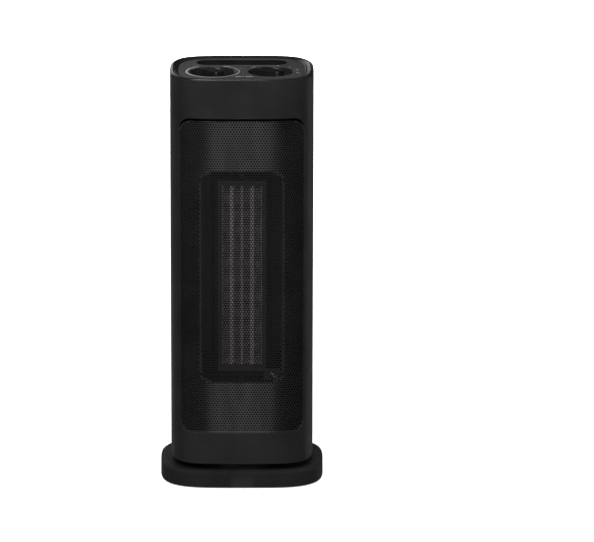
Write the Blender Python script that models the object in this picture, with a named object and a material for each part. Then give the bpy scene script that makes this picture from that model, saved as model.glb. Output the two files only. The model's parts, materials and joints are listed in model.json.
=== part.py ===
"""Oscillating ceramic tower heater, modelled as an assembly of separate solids.

Lengths in this file are millimetres times MM, so the scene is in metres. The origin is the centre
of the base on the surface it stands on, +Z is up, and the grille faces -Y.
Every sub-part is one closed object. A part that turns or slides hangs on an empty on its axis.
"""

import math

import bmesh
import bpy
from mathutils import Matrix, Vector

MM = 0.001
GAP = 0.3  # between parts that touch
RUNNING = 0.1  # radial clearance of a shaft in its hole
REACH = 100.0  # a cutter this wide or deep clears the tower on every side
PAST = 5.0  # how far a cutter runs past the face that it opens

# Driving sizes of the outside
TOWER_WIDTH, TOWER_DEPTH = 181.2, 141.0
TOWER_POWERS = (4.8, 3.14)  # of the rounded plan: flat in front, fuller at the sides
BASE_WIDTH, BASE_DEPTH = 207.6, 152.0
BASE_POWERS = (4.2, 2.9)
TOTAL_HEIGHT = 532.0
TOWER_BOTTOM = 31.0
SHELL_TOP = 529.9
WALL = 2.5
SPLIT_Y = 8.0  # where the front and the rear shell meet
PLAN_STEPS = 44
RING_STEPS = 36  # enough sides for a running fit on the post

# Base
BASE_BOTTOM, BASE_EDGE, BASE_TOP = 1.5, 20.5, 22.5
BASE_BEVEL = 5.0
PLATE_BOTTOM, PLATE_TOP = 2.0, 4.5
FOOT_RADIUS, FOOT_HEIGHT = 9.0, 3.2
FOOT_PLACES = [(sx * 74.0, sy * 44.0) for sx in (-1, 1) for sy in (-1, 1)]
BASE_SCREW_PLACES = [(-40.0, 56.0), (40.0, 56.0), (0.0, -58.0)]
POST_RADIUS, POST_BORE, POST_TOP = 20.0, 15.0, 45.0
ARM_BOTTOM, ARM_TOP = 45.3, 47.3
PLUNGER_PLACE = (-34.0, -57.0)
PLUNGER_RADIUS = 2.5
GLAND_X, GLAND_Z = 55.0, 12.0

# Oscillation drive: the pin runs at CRANK_RADIUS round a motor that stands CRANK_X from the post
CRANK_X, CRANK_RADIUS, PIN_RADIUS = -45.0, 22.5, 4.0

# Grille windows: half width, bottom, top, corner radius
OUTER_WINDOW = (79.0, 72.3, 481.0, 15.0)
REAR_WINDOW = (60.0, 110.0, 450.0, 15.0)
INNER_WINDOW = (51.2, 137.9, 416.1)
GRILLE_RECESS, GRILLE_THICKNESS = 1.2, 2.0
GRILLE_COLUMNS, GRILLE_ROWS, GRILLE_RIB = 4, 10, 3.0
REAR_ROWS, REAR_RIB, REAR_MARGIN = 12, 6.0, 8.0
FRONT_SPAN, REAR_SPAN = (-90.0, -30.0), (30.0, 90.0)  # y range of what cuts the front or the rear wall

# Control panel
PANEL_TOP, PANEL_THICKNESS = 529.2, 2.5
PANEL_HALF = (79.6, 62.4)
KNOB_X, KNOB_Y = 36.7, -13.0
BOWL_RADIUS, BOWL_FLOOR = 28.8, 518.5
SLOT_LENGTH, SLOT_WIDTH, SLOT_Y, SLOT_FLOOR = 115.0, 32.0, 40.4, 505.0
LAMP_Y = 4.0
THERMOSTAT_ANGLE, SELECTOR_ANGLE = -52.0, -36.0  # of the long axis of each knob's grip

# Heating element
ELEMENT_BOTTOM, ELEMENT_TOP = 158.5, 391.5
ELEMENT_FRONT, ELEMENT_BACK = -54.0, -41.0
STRIP_HALF, BAR_NEAR, BAR_FAR, RAIL_NEAR, RAIL_FAR = 1.4, 10.5, 15.2, 24.0, 25.0  # from x = 0
BRACKET_HALF, BRACKET_BOTTOM, BRACKET_TOP = 30.2, 150.5, 398.0
FIN_FOLDS, FIN_SHEET = 14, 1.2
FUSE_START, FUSE_END, FUSE_RADIUS = (36.4, -59.4, 149.0), (44.8, -59.4, 141.4), 2.0

# Blower
FAN_Y, FAN_RADIUS, FAN_BLADES = 14.0, 32.0, 14
FAN_CENTRE = (0.0, FAN_Y)
FAN_BOTTOM, FAN_TOP, FAN_DISC = 150.0, 402.0, 3.0
SHAFT_RADIUS, SHAFT_BOTTOM, SHAFT_TOP = 3.0, 77.0, 412.0
SHELF_BOTTOM, SHELF_TOP = 72.3, 74.3
DUCT_FLOOR, DUCT_CAP = 142.0, 408.0
STATOR_BOTTOM, STATOR_TOP = 82.0, 104.0
COIL_LEG = (-14.3, -8.7)  # y range of the stator's leg inside the coil
SWITCH_SHELF = 484.5
SHELL_SCREW_X, LOWER_SCREW_Z, UPPER_SCREW_Z = 50.0, 68.0, 480.0


# ---------------------------------------------------------------- building blocks


def clear_scene():
    for item in list(bpy.data.objects):
        bpy.data.objects.remove(item, do_unlink=True)


def material(name, colour, roughness, metallic=0.0):
    made = bpy.data.materials.new(name)
    made.use_nodes = True
    shader = made.node_tree.nodes["Principled BSDF"]
    shader.inputs["Base Color"].default_value = (*colour, 1.0)
    shader.inputs["Roughness"].default_value = roughness
    shader.inputs["Metallic"].default_value = metallic
    made.diffuse_color = (*colour, 1.0)
    return made


def add_object(name, points, faces, look=None):
    """A mesh object from points in millimetres, with its faces pointing out."""
    mesh = bpy.data.meshes.new(name)
    mesh.from_pydata([Vector(p) * MM for p in points], [], faces)
    work = bmesh.new()
    work.from_mesh(mesh)
    bmesh.ops.recalc_face_normals(work, faces=work.faces)
    work.to_mesh(mesh)
    work.free()
    mesh.shade_smooth()
    mesh.set_sharp_from_angle(angle=math.radians(32))
    item = bpy.data.objects.new(name, mesh)
    bpy.context.collection.objects.link(item)
    if look:
        mesh.materials.append(look)
    return item


def loft(name, loops, look=None, hoop=False):
    """Joins loops of equally many points. A hoop closes on its first loop, a bar gets two caps."""
    count = len(loops[0])
    points = [p for loop in loops for p in loop]
    spans = len(loops) if hoop else len(loops) - 1
    faces = []
    for i in range(spans):
        a, b = i * count, (i + 1) % len(loops) * count
        for k in range(count):
            m = (k + 1) % count
            faces.append((a + k, a + m, b + m, b + k))
    if not hoop:
        faces.append(tuple(reversed(range(count))))
        faces.append(tuple(range(len(points) - count, len(points))))
    return add_object(name, points, faces, look)


def plan_loop(half_x, half_y, powers, z, steps=PLAN_STEPS):
    """A superellipse in plan: the outline of the tower, the base and what follows them."""
    loop = []
    for i in range(steps):
        c, s = math.cos(math.tau * i / steps), math.sin(math.tau * i / steps)
        x = half_x * math.copysign(abs(c) ** (2 / powers[0]), c)
        y = half_y * math.copysign(abs(s) ** (2 / powers[1]), s)
        loop.append((x, y, z))
    return loop


def tower_loop(inset, z):
    return plan_loop(TOWER_WIDTH / 2 - inset, TOWER_DEPTH / 2 - inset, TOWER_POWERS, z)


def base_loop(inset, z):
    return plan_loop(BASE_WIDTH / 2 - inset, BASE_DEPTH / 2 - inset, BASE_POWERS, z)


def circle(radius, z, centre=(0.0, 0.0), steps=PLAN_STEPS):
    angles = (math.tau * i / steps for i in range(steps))
    return [(centre[0] + radius * math.cos(a), centre[1] + radius * math.sin(a), z) for a in angles]


def upright_circle(radius, x, y, z, steps):
    """A circle that faces along y."""
    return [(x + px, y, z + pz) for px, pz, _ in circle(radius, 0, steps=steps)]


def rod(name, radius, low, high, centre=(0.0, 0.0), look=None, steps=20):
    return loft(name, [circle(radius, z, centre, steps) for z in (low, high)], look)


def rod_along_y(name, radius, low, high, x, z, look=None, steps=20):
    return loft(name, [upright_circle(radius, x, y, z, steps) for y in (low, high)], look)


def ring(name, profile, centre=(0.0, 0.0), look=None, steps=RING_STEPS):
    """A turned hollow body from a closed profile of (radius, z)."""
    return loft(name, [circle(r, z, centre, steps) for r, z in profile], look, hoop=True)


def tube_profile(inner, outer, low, high):
    return [(outer, low), (outer, high), (inner, high), (inner, low)]


def turned(name, profile, centre=(0.0, 0.0), look=None, steps=28):
    """A turned solid body with a flat bottom and top."""
    return loft(name, [circle(r, z, centre, steps) for r, z in profile], look)


def box(name, low, high, look=None):
    loops = [
        [(low[0], low[1], z), (high[0], low[1], z), (high[0], high[1], z), (low[0], high[1], z)]
        for z in (low[2], high[2])
    ]
    return loft(name, loops, look)


def rounded_outline(half_x, low, high, radius, steps=6):
    """Points of an upright rectangle with round corners, centred on x = 0."""
    corners = [(half_x, high, 0), (-half_x, high, 1), (-half_x, low, 2), (half_x, low, 3)]
    points = []
    for x, v, quarter in corners:
        cx = x - math.copysign(radius, x)
        cv = v - (radius if quarter < 2 else -radius)
        for i in range(steps + 1):
            a = math.pi / 2 * (quarter + i / steps)
            points.append((cx + radius * math.cos(a), cv + radius * math.sin(a)))
    return points


def window_prism(name, window, y_span, inset=0.0):
    half_x, low, high, radius = window
    outline = rounded_outline(half_x - inset, low + inset, high - inset, radius - inset)
    return loft(name, [[(x, y, z) for x, z in outline] for y in y_span])


def flat_plate(name, outline, low, high, look=None):
    return loft(name, [[(x, y, z) for x, y in outline] for z in (low, high)], look)


def curved_wall(name, path, thickness, low, high):
    """A sheet of even thickness that stands on a plan path."""
    sides = ([], [])
    for i, point in enumerate(path):
        before, after = path[max(i - 1, 0)], path[min(i + 1, len(path) - 1)]
        along = Vector((after[0] - before[0], after[1] - before[1])).normalized()
        across = Vector((-along.y, along.x)) * thickness / 2
        sides[0].append((point[0] + across.x, point[1] + across.y))
        sides[1].append((point[0] - across.x, point[1] - across.y))
    return flat_plate(name, sides[0] + sides[1][::-1], low, high)


def gather(name, items):
    """Joins separate cutters into one object."""
    points, faces = [], []
    for item in items:
        start = len(points)
        points += [v.co / MM for v in item.data.vertices]
        faces += [tuple(start + k for k in face.vertices) for face in item.data.polygons]
        bpy.data.objects.remove(item, do_unlink=True)
    return add_object(name, points, faces)


def combine(target, tool, operation):
    tool.hide_render = True
    tool.display_type = "WIRE"
    step = target.modifiers.new(tool.name, "BOOLEAN")
    step.operation = operation
    step.object = tool
    step.solver = "EXACT"
    return target


def cut(target, *tools):
    for tool in tools:
        combine(target, tool, "DIFFERENCE")
    return target


def unite(target, *tools):
    for tool in tools:
        combine(target, tool, "UNION")
    return target


def keep_inside(target, tool):
    return combine(target, tool, "INTERSECT")


def hang(items, name, place, parent=None):
    """Puts items on an empty at place, the axis of the joint they move on."""
    pivot = bpy.data.objects.new(name, None)
    bpy.context.collection.objects.link(pivot)
    start = Vector(place) * MM
    parent_start = Vector(parent["place"]) if parent else Vector()
    pivot.location = start - parent_start
    pivot.parent = parent
    pivot["place"] = list(start)
    for item in items:
        item.data.transform(Matrix.Translation(-start))
        item.parent = pivot
    return pivot


# ---------------------------------------------------------------- materials

clear_scene()
BLACK = material("black_housing", (0.018, 0.018, 0.019), 0.45)
GLOSS = material("gloss_rim", (0.012, 0.012, 0.013), 0.18)
PANEL = material("panel_grey", (0.045, 0.045, 0.047), 0.5)
INNER = material("inner_plastic", (0.06, 0.06, 0.06), 0.6)
KNOB = material("knob_black", (0.012, 0.012, 0.012), 0.4)
RUBBER = material("rubber", (0.02, 0.02, 0.02), 0.85)
STEEL = material("zinc_steel", (0.55, 0.55, 0.54), 0.4, 1.0)
ALUMINIUM = material("aluminium", (0.72, 0.69, 0.68), 0.4, 1.0)
BRACKET = material("heat_resin", (0.07, 0.07, 0.072), 0.6)
CERAMIC = material("pale_ceramic", (0.75, 0.72, 0.68), 0.5)
COPPER = material("coil_wrap", (0.6, 0.42, 0.1), 0.5)
LAMP = material("red_lens", (0.6, 0.02, 0.03), 0.25)
ACETAL = material("white_acetal", (0.8, 0.8, 0.78), 0.45)


# ---------------------------------------------------------------- base


def make_base_cover():
    loops = [
        base_loop(0, BASE_BOTTOM),
        base_loop(0, BASE_EDGE),
        base_loop(BASE_BEVEL, BASE_TOP),
        circle(POST_RADIUS + 1.5, BASE_TOP),
        circle(POST_RADIUS + 1.5, BASE_TOP - WALL),
        base_loop(BASE_BEVEL + 1.5, BASE_TOP - WALL),
        base_loop(WALL, BASE_EDGE - WALL),
        base_loop(WALL, BASE_BOTTOM),
    ]
    cover = loft("base_cover", loops, BLACK, hoop=True)
    bosses = [rod("boss", 4.0, PLATE_TOP + GAP, BASE_TOP - 1, p, steps=12) for p in BASE_SCREW_PLACES]
    pilots = [rod("pilot", 1.9, 0, 14, p, steps=10) for p in BASE_SCREW_PLACES]
    unite(cover, gather("cover_bosses", bosses))
    return cut(
        cover,
        gather("cover_pilots", pilots),
        rod_along_y("gland_hole", 5.0 + GAP, 60, REACH, GLAND_X, GLAND_Z),
    )


def make_base_plate():
    plate = loft("base_plate", [base_loop(WALL + GAP, z) for z in (PLATE_BOTTOM, PLATE_TOP)], INNER)
    holes = [rod("pocket", FOOT_RADIUS + GAP, 0, FOOT_HEIGHT + GAP, p, steps=20) for p in FOOT_PLACES]
    for place in BASE_SCREW_PLACES:
        holes.append(rod("recess", 3.7, 0, 3.7, place, steps=14))
    holes.append(rod("plunger_hole", PLUNGER_RADIUS + GAP, 0, 9, PLUNGER_PLACE, steps=16))
    shanks = [rod("shank_hole", 1.9, 0, 9, p, steps=10) for p in BASE_SCREW_PLACES]
    return cut(plate, gather("plate_recesses", holes), gather("plate_shank_holes", shanks))


def make_feet():
    profile = [(FOOT_RADIUS - 1, 0), (FOOT_RADIUS, 0.8), (FOOT_RADIUS, FOOT_HEIGHT)]
    return [
        turned(f"foot_{i}", profile, place, RUBBER, steps=20)
        for i, place in enumerate(FOOT_PLACES, 1)
    ]


def make_base_screws():
    profile = [(3.2, 2.3), (3.2, 3.4), (1.5, 3.7), (1.5, 13.0)]
    return [
        turned(f"base_screw_{i}", profile, place, STEEL, steps=10)
        for i, place in enumerate(BASE_SCREW_PLACES, 1)
    ]


def make_swivel_post():
    """The fixed hollow post that the tower turns round; the supply wires pass through it."""
    flange = POST_RADIUS + 7
    low = PLATE_TOP + GAP
    profile = [(flange, low), (flange, low + 3), (POST_RADIUS, low + 3), (POST_RADIUS, POST_TOP)]
    profile += [(POST_BORE, POST_TOP), (POST_BORE, low)]
    return ring("swivel_post", profile, look=INNER)


def make_glide_ring():
    return ring("glide_ring", tube_profile(34, 44, BASE_TOP + GAP, TOWER_BOTTOM - GAP), look=ACETAL)


def make_retaining_ring():
    profile = tube_profile(POST_RADIUS + GAP, POST_RADIUS + 8, 38.3, 40.3)
    return ring("retaining_ring", profile, look=STEEL)


def make_drive_arm():
    """A slotted arm on top of the post; the crank pin would run in its slot."""
    tip = CRANK_X - CRANK_RADIUS - PIN_RADIUS - 3
    arm = ring("drive_arm", tube_profile(POST_BORE, POST_RADIUS, ARM_BOTTOM, ARM_TOP), look=STEEL)
    bar = box("arm_bar", (tip, -9, ARM_BOTTOM), (-POST_BORE - 1.5, 9, ARM_TOP))
    half = PIN_RADIUS + GAP
    slot_ends = (CRANK_X - CRANK_RADIUS - half, CRANK_X + CRANK_RADIUS + half)
    low, high = ARM_BOTTOM - PAST, ARM_TOP + PAST
    slot = box("arm_slot", (slot_ends[0], -half, low), (slot_ends[1], half, high))
    bore = rod("arm_bore", POST_BORE, low, high, steps=RING_STEPS)
    return cut(unite(arm, bar), slot, bore)


def make_tip_switch():
    x, y = PLUNGER_PLACE
    switch = box("tip_switch", (x - 10, y - 6, 4.8), (x + 10, y + 6, 14), INNER)
    return cut(switch, rod("switch_bore", PLUNGER_RADIUS + GAP, 0, 9, PLUNGER_PLACE, steps=16))


def make_tip_plunger():
    profile = [(1.6, 0), (PLUNGER_RADIUS, 1), (PLUNGER_RADIUS, 8.5)]
    return turned("tip_plunger", profile, PLUNGER_PLACE, ACETAL, steps=16)


def make_cord_gland():
    """A rubber bush in the rear wall of the base, with a round hole for a cord."""
    stations = [(7.0, 65.0), (7.0, 69.2), (5.0, 69.2), (5.0, 74.5), (4.4, 75.8)]
    stations += [(3.4, 75.8), (3.4, 65.0)]
    loops = [upright_circle(radius, GLAND_X, y, GLAND_Z, 20) for radius, y in stations]
    return loft("cord_gland", loops, RUBBER, hoop=True)


# ---------------------------------------------------------------- tower housing


def make_shell_blank(name):
    loops = [tower_loop(1.0, TOWER_BOTTOM), tower_loop(0, TOWER_BOTTOM + 1), tower_loop(0, SHELL_TOP)]
    loops += [tower_loop(WALL, SHELL_TOP), tower_loop(WALL, TOWER_BOTTOM)]
    return loft(name, loops, BLACK, hoop=True)


def make_front_shell():
    shell = make_shell_blank("front_shell")
    keep_inside(shell, box("front_half", (-REACH, -REACH, 0), (REACH, SPLIT_Y, TOTAL_HEIGHT)))
    return cut(shell, window_prism("front_window", OUTER_WINDOW, FRONT_SPAN))


def shell_screw_places():
    return [(sx * SHELL_SCREW_X, z) for z in (LOWER_SCREW_Z, UPPER_SCREW_Z) for sx in (-1, 1)]


def make_rear_shell():
    shell = make_shell_blank("rear_shell")
    keep_inside(shell, box("rear_half", (-REACH, SPLIT_Y + GAP, 0), (REACH, REACH, TOTAL_HEIGHT)))
    holes = [rod_along_y("screw_hole", 4.0, 55, REACH, x, z, steps=16) for x, z in shell_screw_places()]
    return cut(shell, window_prism("rear_window", REAR_WINDOW, REAR_SPAN), gather("screw_holes", holes))


def make_sheet(name, window, y_span, inset, thickness, look, margin=GAP):
    """A curved sheet that follows the tower's plan and fills a window, less a margin."""
    low, high = window[1] - 12, window[2] + 12
    loops = [tower_loop(inset, low), tower_loop(inset, high)]
    loops += [tower_loop(inset + thickness, high), tower_loop(inset + thickness, low)]
    sheet = loft(name, loops, look, hoop=True)
    return keep_inside(sheet, window_prism(name + "_outline", window, y_span, margin))


def make_grille_panel():
    """The front grille, with coarse openings in place of its fine holes."""
    panel = make_sheet("grille_panel", OUTER_WINDOW, FRONT_SPAN, GRILLE_RECESS, GRILLE_THICKNESS, BLACK)
    half_x, low, high = INNER_WINDOW
    step_x, step_z = 2 * half_x / GRILLE_COLUMNS, (high - low) / GRILLE_ROWS
    edge = GRILLE_RIB / 2
    holes = []
    for i in range(GRILLE_COLUMNS):
        for j in range(GRILLE_ROWS):
            x, z = -half_x + i * step_x, low + j * step_z
            corner = (x + step_x - edge, FRONT_SPAN[1], z + step_z - edge)
            holes.append(box("hole", (x + edge, FRONT_SPAN[0], z + edge), corner))
    return cut(panel, gather("grille_holes", holes))


def make_rear_grille():
    grille = make_sheet("rear_grille", REAR_WINDOW, REAR_SPAN, 0.6, GRILLE_THICKNESS, BLACK)
    half_x, low, high, _ = REAR_WINDOW
    step = (high - low - 2 * REAR_MARGIN) / REAR_ROWS
    edge = REAR_RIB / 2
    slots = []
    for j in range(REAR_ROWS):
        z = low + REAR_MARGIN + j * step
        for side in (-1, 1):
            near, far = sorted((side * edge, side * (half_x - REAR_MARGIN)))
            slots.append(box("slot", (near, REAR_SPAN[0], z + edge), (far, REAR_SPAN[1], z + step - edge)))
    return cut(grille, gather("rear_slots", slots))


def make_dust_filter():
    return make_sheet("dust_filter", REAR_WINDOW, REAR_SPAN, 3.2, 1.2, INNER, margin=-2.0)


def make_tower_floor():
    hole = POST_RADIUS + 4
    loops = [tower_loop(WALL + GAP, TOWER_BOTTOM), tower_loop(WALL + GAP, TOWER_BOTTOM + 3)]
    loops += [circle(hole, TOWER_BOTTOM + 3), circle(hole, TOWER_BOTTOM)]
    return loft("tower_floor", loops, INNER, hoop=True)


def make_swivel_bush():
    profile = tube_profile(POST_RADIUS + RUNNING, POST_RADIUS + 3.7, TOWER_BOTTOM, 38)
    return ring("swivel_bush", profile, look=ACETAL)


def make_top_rim():
    """The raised rim: a rounded shoulder, a crest and a sloped inner wall down to the panel."""
    crest, edge = (88.8, 66.8), (79.9, 62.7)

    def rim_loop(half, z):
        return plan_loop(*half, TOWER_POWERS, z)

    loops = [
        tower_loop(0.3, SHELL_TOP + 0.5),
        tower_loop(1.0, 531.2),
        rim_loop(crest, TOTAL_HEIGHT),
        rim_loop((crest[0] - 0.9, crest[1] - 0.7), TOTAL_HEIGHT - 0.1),
        rim_loop((84.0, 64.4), 530.4),
        rim_loop(edge, PANEL_TOP),
        rim_loop(edge, 524),
        tower_loop(5.2, 522),
        tower_loop(5.2, 512),
        tower_loop(WALL + GAP, 512),
        tower_loop(WALL + GAP, SHELL_TOP + 0.5),
    ]
    return loft("top_rim", loops, GLOSS, hoop=True)


# ---------------------------------------------------------------- controls


def bowl_profile(margin):
    """Radius and height down the inside of a bowl, or of its outside with a margin."""
    profile = [(12, BOWL_FLOOR), (20, BOWL_FLOOR + 1.6), (25.6, BOWL_FLOOR + 5.4)]
    profile.append((BOWL_RADIUS, PANEL_TOP))
    return [(r + margin, z - margin) for r, z in profile]


def make_control_panel():
    low = PANEL_TOP - PANEL_THICKNESS
    loops = [plan_loop(*PANEL_HALF, TOWER_POWERS, z) for z in (low, PANEL_TOP)]
    panel = loft("control_panel", loops, PANEL)
    wall = 2.0
    half_x, half_y = SLOT_LENGTH / 2, SLOT_WIDTH / 2
    bodies, hollows, stems = [], [], []
    for side in (-1, 1):
        centre = (side * KNOB_X, KNOB_Y)
        bodies.append(turned("bowl", bowl_profile(wall)[:-1] + [(BOWL_RADIUS, PANEL_TOP - 1)], centre))
        top = (BOWL_RADIUS, PANEL_TOP + PAST)
        hollows.append(turned("hollow", bowl_profile(0) + [top], centre))
        stems.append(rod("stem_hole", 4.2, BOWL_FLOOR - PAST, BOWL_FLOOR + PAST, centre))
    cup = rounded_outline(half_x + wall, SLOT_Y - half_y - wall, SLOT_Y + half_y + wall, half_y + wall)
    bodies.append(flat_plate("cup", cup, SLOT_FLOOR - wall, PANEL_TOP - 1))
    slot = rounded_outline(half_x, SLOT_Y - half_y, SLOT_Y + half_y, half_y)
    hollows.append(flat_plate("slot", slot, SLOT_FLOOR, PANEL_TOP + PAST))
    stems.append(rod("lamp_hole", 1.7, low - PAST, PANEL_TOP + PAST, (0, LAMP_Y), steps=16))
    unite(panel, gather("panel_bodies", bodies))
    return cut(panel, gather("panel_hollows", hollows), gather("panel_holes", stems))


def make_pilot_lamp():
    top_of_flange = PANEL_TOP - PANEL_THICKNESS - GAP
    profile = [(2.6, 517), (2.6, top_of_flange), (1.4, top_of_flange), (1.4, PANEL_TOP + 0.2)]
    profile.append((0.8, PANEL_TOP + 0.5))
    return turned("pilot_lamp", profile, (0, LAMP_Y), LAMP, steps=16)


def make_knob(name, side, angle):
    """A bar grip with drafted sides on a round skirt, with a stem into the switch below."""
    centre = Vector((side * KNOB_X, KNOB_Y, 0))
    turn = Matrix.Rotation(math.radians(angle), 3, "Z")
    stations = [(18.0, 9.0, 521.5), (16.9, 7.9, 527.0), (16.2, 7.2, 531.0), (15.4, 6.4, 531.9)]
    loops = []
    for half_length, half_width, z in stations:
        outline = rounded_outline(half_length, -half_width, half_width, half_width * 0.55, 3)
        loops.append([turn @ Vector((x, y, z)) + centre for x, y in outline])
    knob = turned(name, [(3.3, 507), (3.3, 519.2), (16, 520), (16, 522)], centre[:2], KNOB)
    return unite(knob, loft(name + "_grip", loops))


def make_switch_body(name, side, half, low, high):
    centre = (side * KNOB_X, KNOB_Y)
    lows = (centre[0] - half[0], centre[1] - half[1], low)
    body = box(name, lows, (centre[0] + half[0], centre[1] + half[1], high), INNER)
    return cut(body, rod(name + "_bore", 3.6, 506, 520, centre))


def make_shelf(name, low, high, boss_low, boss_high, bores):
    """A floor across the tower, with two bosses for the screws through the rear shell."""
    shelf = loft(name, [tower_loop(3.8, z) for z in (low, high)], INNER)
    bosses = [
        box("boss", (side * SHELL_SCREW_X - 5, 52, boss_low), (side * SHELL_SCREW_X + 5, 64.6, boss_high))
        for side in (-1, 1)
    ]
    unite(shelf, gather(name + "_bosses", bosses))
    return cut(shelf, bores)


def screw_bores(name, z):
    bores = [rod_along_y("bore", 2.1, 53.5, 80, side * SHELL_SCREW_X, z) for side in (-1, 1)]
    return gather(name, bores)


def make_motor_shelf():
    bores = screw_bores("lower_bores", LOWER_SCREW_Z)
    return make_shelf("motor_shelf", SHELF_BOTTOM, SHELF_TOP, 62, SHELF_BOTTOM + 1, bores)


def make_switch_shelf():
    bores = screw_bores("upper_bores", UPPER_SCREW_Z)
    return make_shelf("switch_shelf", SWITCH_SHELF, SWITCH_SHELF + 2, 474, SWITCH_SHELF + 1, bores)


def make_shell_screws():
    screws = []
    stations = [(1.8, 54.2), (1.8, 66.6), (3.6, 67.4), (3.6, 68.6)]
    for i, (x, z) in enumerate(shell_screw_places(), 1):
        loops = [upright_circle(radius, x, y, z, 12) for radius, y in stations]
        screws.append(loft(f"shell_screw_{i}", loops, STEEL))
    return screws


# ---------------------------------------------------------------- heating element


def make_heater_bracket():
    def frame_loop(half, low, high, y):
        return [(-half, y, low), (half, y, low), (half, y, high), (-half, y, high)]

    front, back = ELEMENT_FRONT - 3, ELEMENT_BACK + 3
    outer = (BRACKET_HALF, BRACKET_BOTTOM, BRACKET_TOP)
    inner = (RAIL_FAR + GAP, ELEMENT_BOTTOM - GAP, ELEMENT_TOP + GAP)
    loops = [frame_loop(*outer, front), frame_loop(*outer, back)]
    loops += [frame_loop(*inner, back), frame_loop(*inner, front)]
    bracket = loft("heater_bracket", loops, BRACKET, hoop=True)
    return unite(bracket, box("fuse_tab", (BRACKET_HALF - 2, front + 1, 138), (48, front + 3, 153)))


def element_plate(name, low_x, high_x, look):
    low = (low_x, ELEMENT_FRONT, ELEMENT_BOTTOM)
    return box(name, low, (high_x, ELEMENT_BACK, ELEMENT_TOP), look)


def make_fin_stack(name, low_x, high_x):
    """One corrugated fin strip, a zigzag in the front view."""
    steps = 2 * FIN_FOLDS
    low, high = ELEMENT_BOTTOM + GAP, ELEMENT_TOP - GAP
    turns = (low_x, high_x - FIN_SHEET)
    path = [(turns[i % 2], low + (high - low) * i / steps) for i in range(steps + 1)]
    outline = path + [(x + FIN_SHEET, z) for x, z in reversed(path)]
    loops = [[(x, y, z) for x, z in outline] for y in (ELEMENT_FRONT + 0.5, ELEMENT_BACK - 0.5)]
    return loft(name, loops, ALUMINIUM)


def make_element():
    pieces = [
        element_plate("edge_rail_left", -RAIL_FAR, -RAIL_NEAR, STEEL),
        element_plate("ceramic_bar_left", -BAR_FAR, -BAR_NEAR, ALUMINIUM),
        element_plate("centre_strip", -STRIP_HALF, STRIP_HALF, ALUMINIUM),
        element_plate("ceramic_bar_right", BAR_NEAR, BAR_FAR, ALUMINIUM),
        element_plate("edge_rail_right", RAIL_NEAR, RAIL_FAR, STEEL),
    ]
    columns = [
        (-RAIL_NEAR, -BAR_FAR),
        (-BAR_NEAR, -STRIP_HALF),
        (STRIP_HALF, BAR_NEAR),
        (BAR_FAR, RAIL_NEAR),
    ]
    for i, (low_x, high_x) in enumerate(columns, 1):
        pieces.append(make_fin_stack(f"fin_stack_{i}", low_x + GAP, high_x - GAP))
    return pieces


def make_thermal_fuse():
    """A small capsule that lies on a slant in front of the bracket's tab."""
    start, end = Vector(FUSE_START), Vector(FUSE_END)
    deep = Vector((0, 1, 0))
    side = (end - start).normalized().cross(deep)
    loops = []
    for share, width in [(0, 0.6), (0.12, 1), (0.88, 1), (1, 0.6)]:
        centre = start.lerp(end, share)
        radius = FUSE_RADIUS * width
        loops.append([centre + side * x + deep * y for x, y, _ in circle(radius, 0, steps=12)])
    return loft("thermal_fuse", loops, CERAMIC)


def make_thermal_cutout():
    low = BRACKET_TOP + GAP
    profile = [(8, low), (8, low + 5), (6, low + 5), (6, low + 8)]
    return turned("thermal_cutout", profile, (18, -47.5), INNER, steps=20)


# ---------------------------------------------------------------- blower


def make_fan_wheel():
    """A cross-flow wheel: three discs with forward-curved blades along their rims."""
    discs = []
    for low in (FAN_BOTTOM, (FAN_BOTTOM + FAN_TOP - FAN_DISC) / 2, FAN_TOP - FAN_DISC):
        profile = tube_profile(SHAFT_RADIUS + GAP, FAN_RADIUS, low, low + FAN_DISC)
        discs.append(ring("disc", profile, FAN_CENTRE, steps=24))
    wheel = gather("fan_wheel", discs)
    wheel.data.materials.append(INNER)
    inner, outer = Vector((24.5, 0)), Vector((31.2, 3.5))
    across = (outer - inner).normalized().orthogonal() * 0.6
    corners = [inner + across, outer + across, outer - across, inner - across]
    blades = []
    for i in range(FAN_BLADES):
        turn = Matrix.Rotation(math.tau * i / FAN_BLADES, 2)
        outline = [turn @ c + Vector(FAN_CENTRE) for c in corners]
        blades.append(flat_plate("blade", outline, FAN_BOTTOM + 1, FAN_TOP - 1))
    return unite(wheel, gather("fan_blades", blades))


def make_fan_shaft():
    return rod("fan_shaft", SHAFT_RADIUS, SHAFT_BOTTOM, SHAFT_TOP, FAN_CENTRE, STEEL)


def make_rotor():
    profile = tube_profile(SHAFT_RADIUS + GAP, 12.7, STATOR_BOTTOM, STATOR_TOP)
    return ring("motor_rotor", profile, FAN_CENTRE, STEEL, steps=24)


def make_stator():
    stator = box("motor_stator", (-27, -14, STATOR_BOTTOM), (27, 40, STATOR_TOP), STEEL)
    low, high = STATOR_BOTTOM - PAST, STATOR_TOP + PAST
    bore = rod("stator_bore", 13.2, low, high, FAN_CENTRE)
    return cut(stator, bore, box("stator_window", (-14, COIL_LEG[1], low), (14, -2.9, high)))


def make_coil():
    coil = box("motor_coil", (-13, -19.5, STATOR_BOTTOM - 5), (13, -3.3, STATOR_TOP + 5), COPPER)
    low, high = STATOR_BOTTOM - GAP, STATOR_TOP + GAP
    return cut(coil, box("coil_bore", (-REACH, COIL_LEG[0], low), (REACH, COIL_LEG[1], high)))


def make_motor_bracket(name, low, high, leg_low, leg_high):
    """A bridge over the stator with a hole for the shaft and a leg at each end."""
    bridge = box(name, (-24, 8, low), (24, 20, high), STEEL)
    legs = [box("leg", (s * 22.5 - 1.5, 8, leg_low), (s * 22.5 + 1.5, 20, leg_high)) for s in (-1, 1)]
    hole = rod(name + "_hole", SHAFT_RADIUS + RUNNING, low - PAST, high + PAST, FAN_CENTRE)
    return cut(unite(bridge, gather(name + "_legs", legs)), hole)


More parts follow.
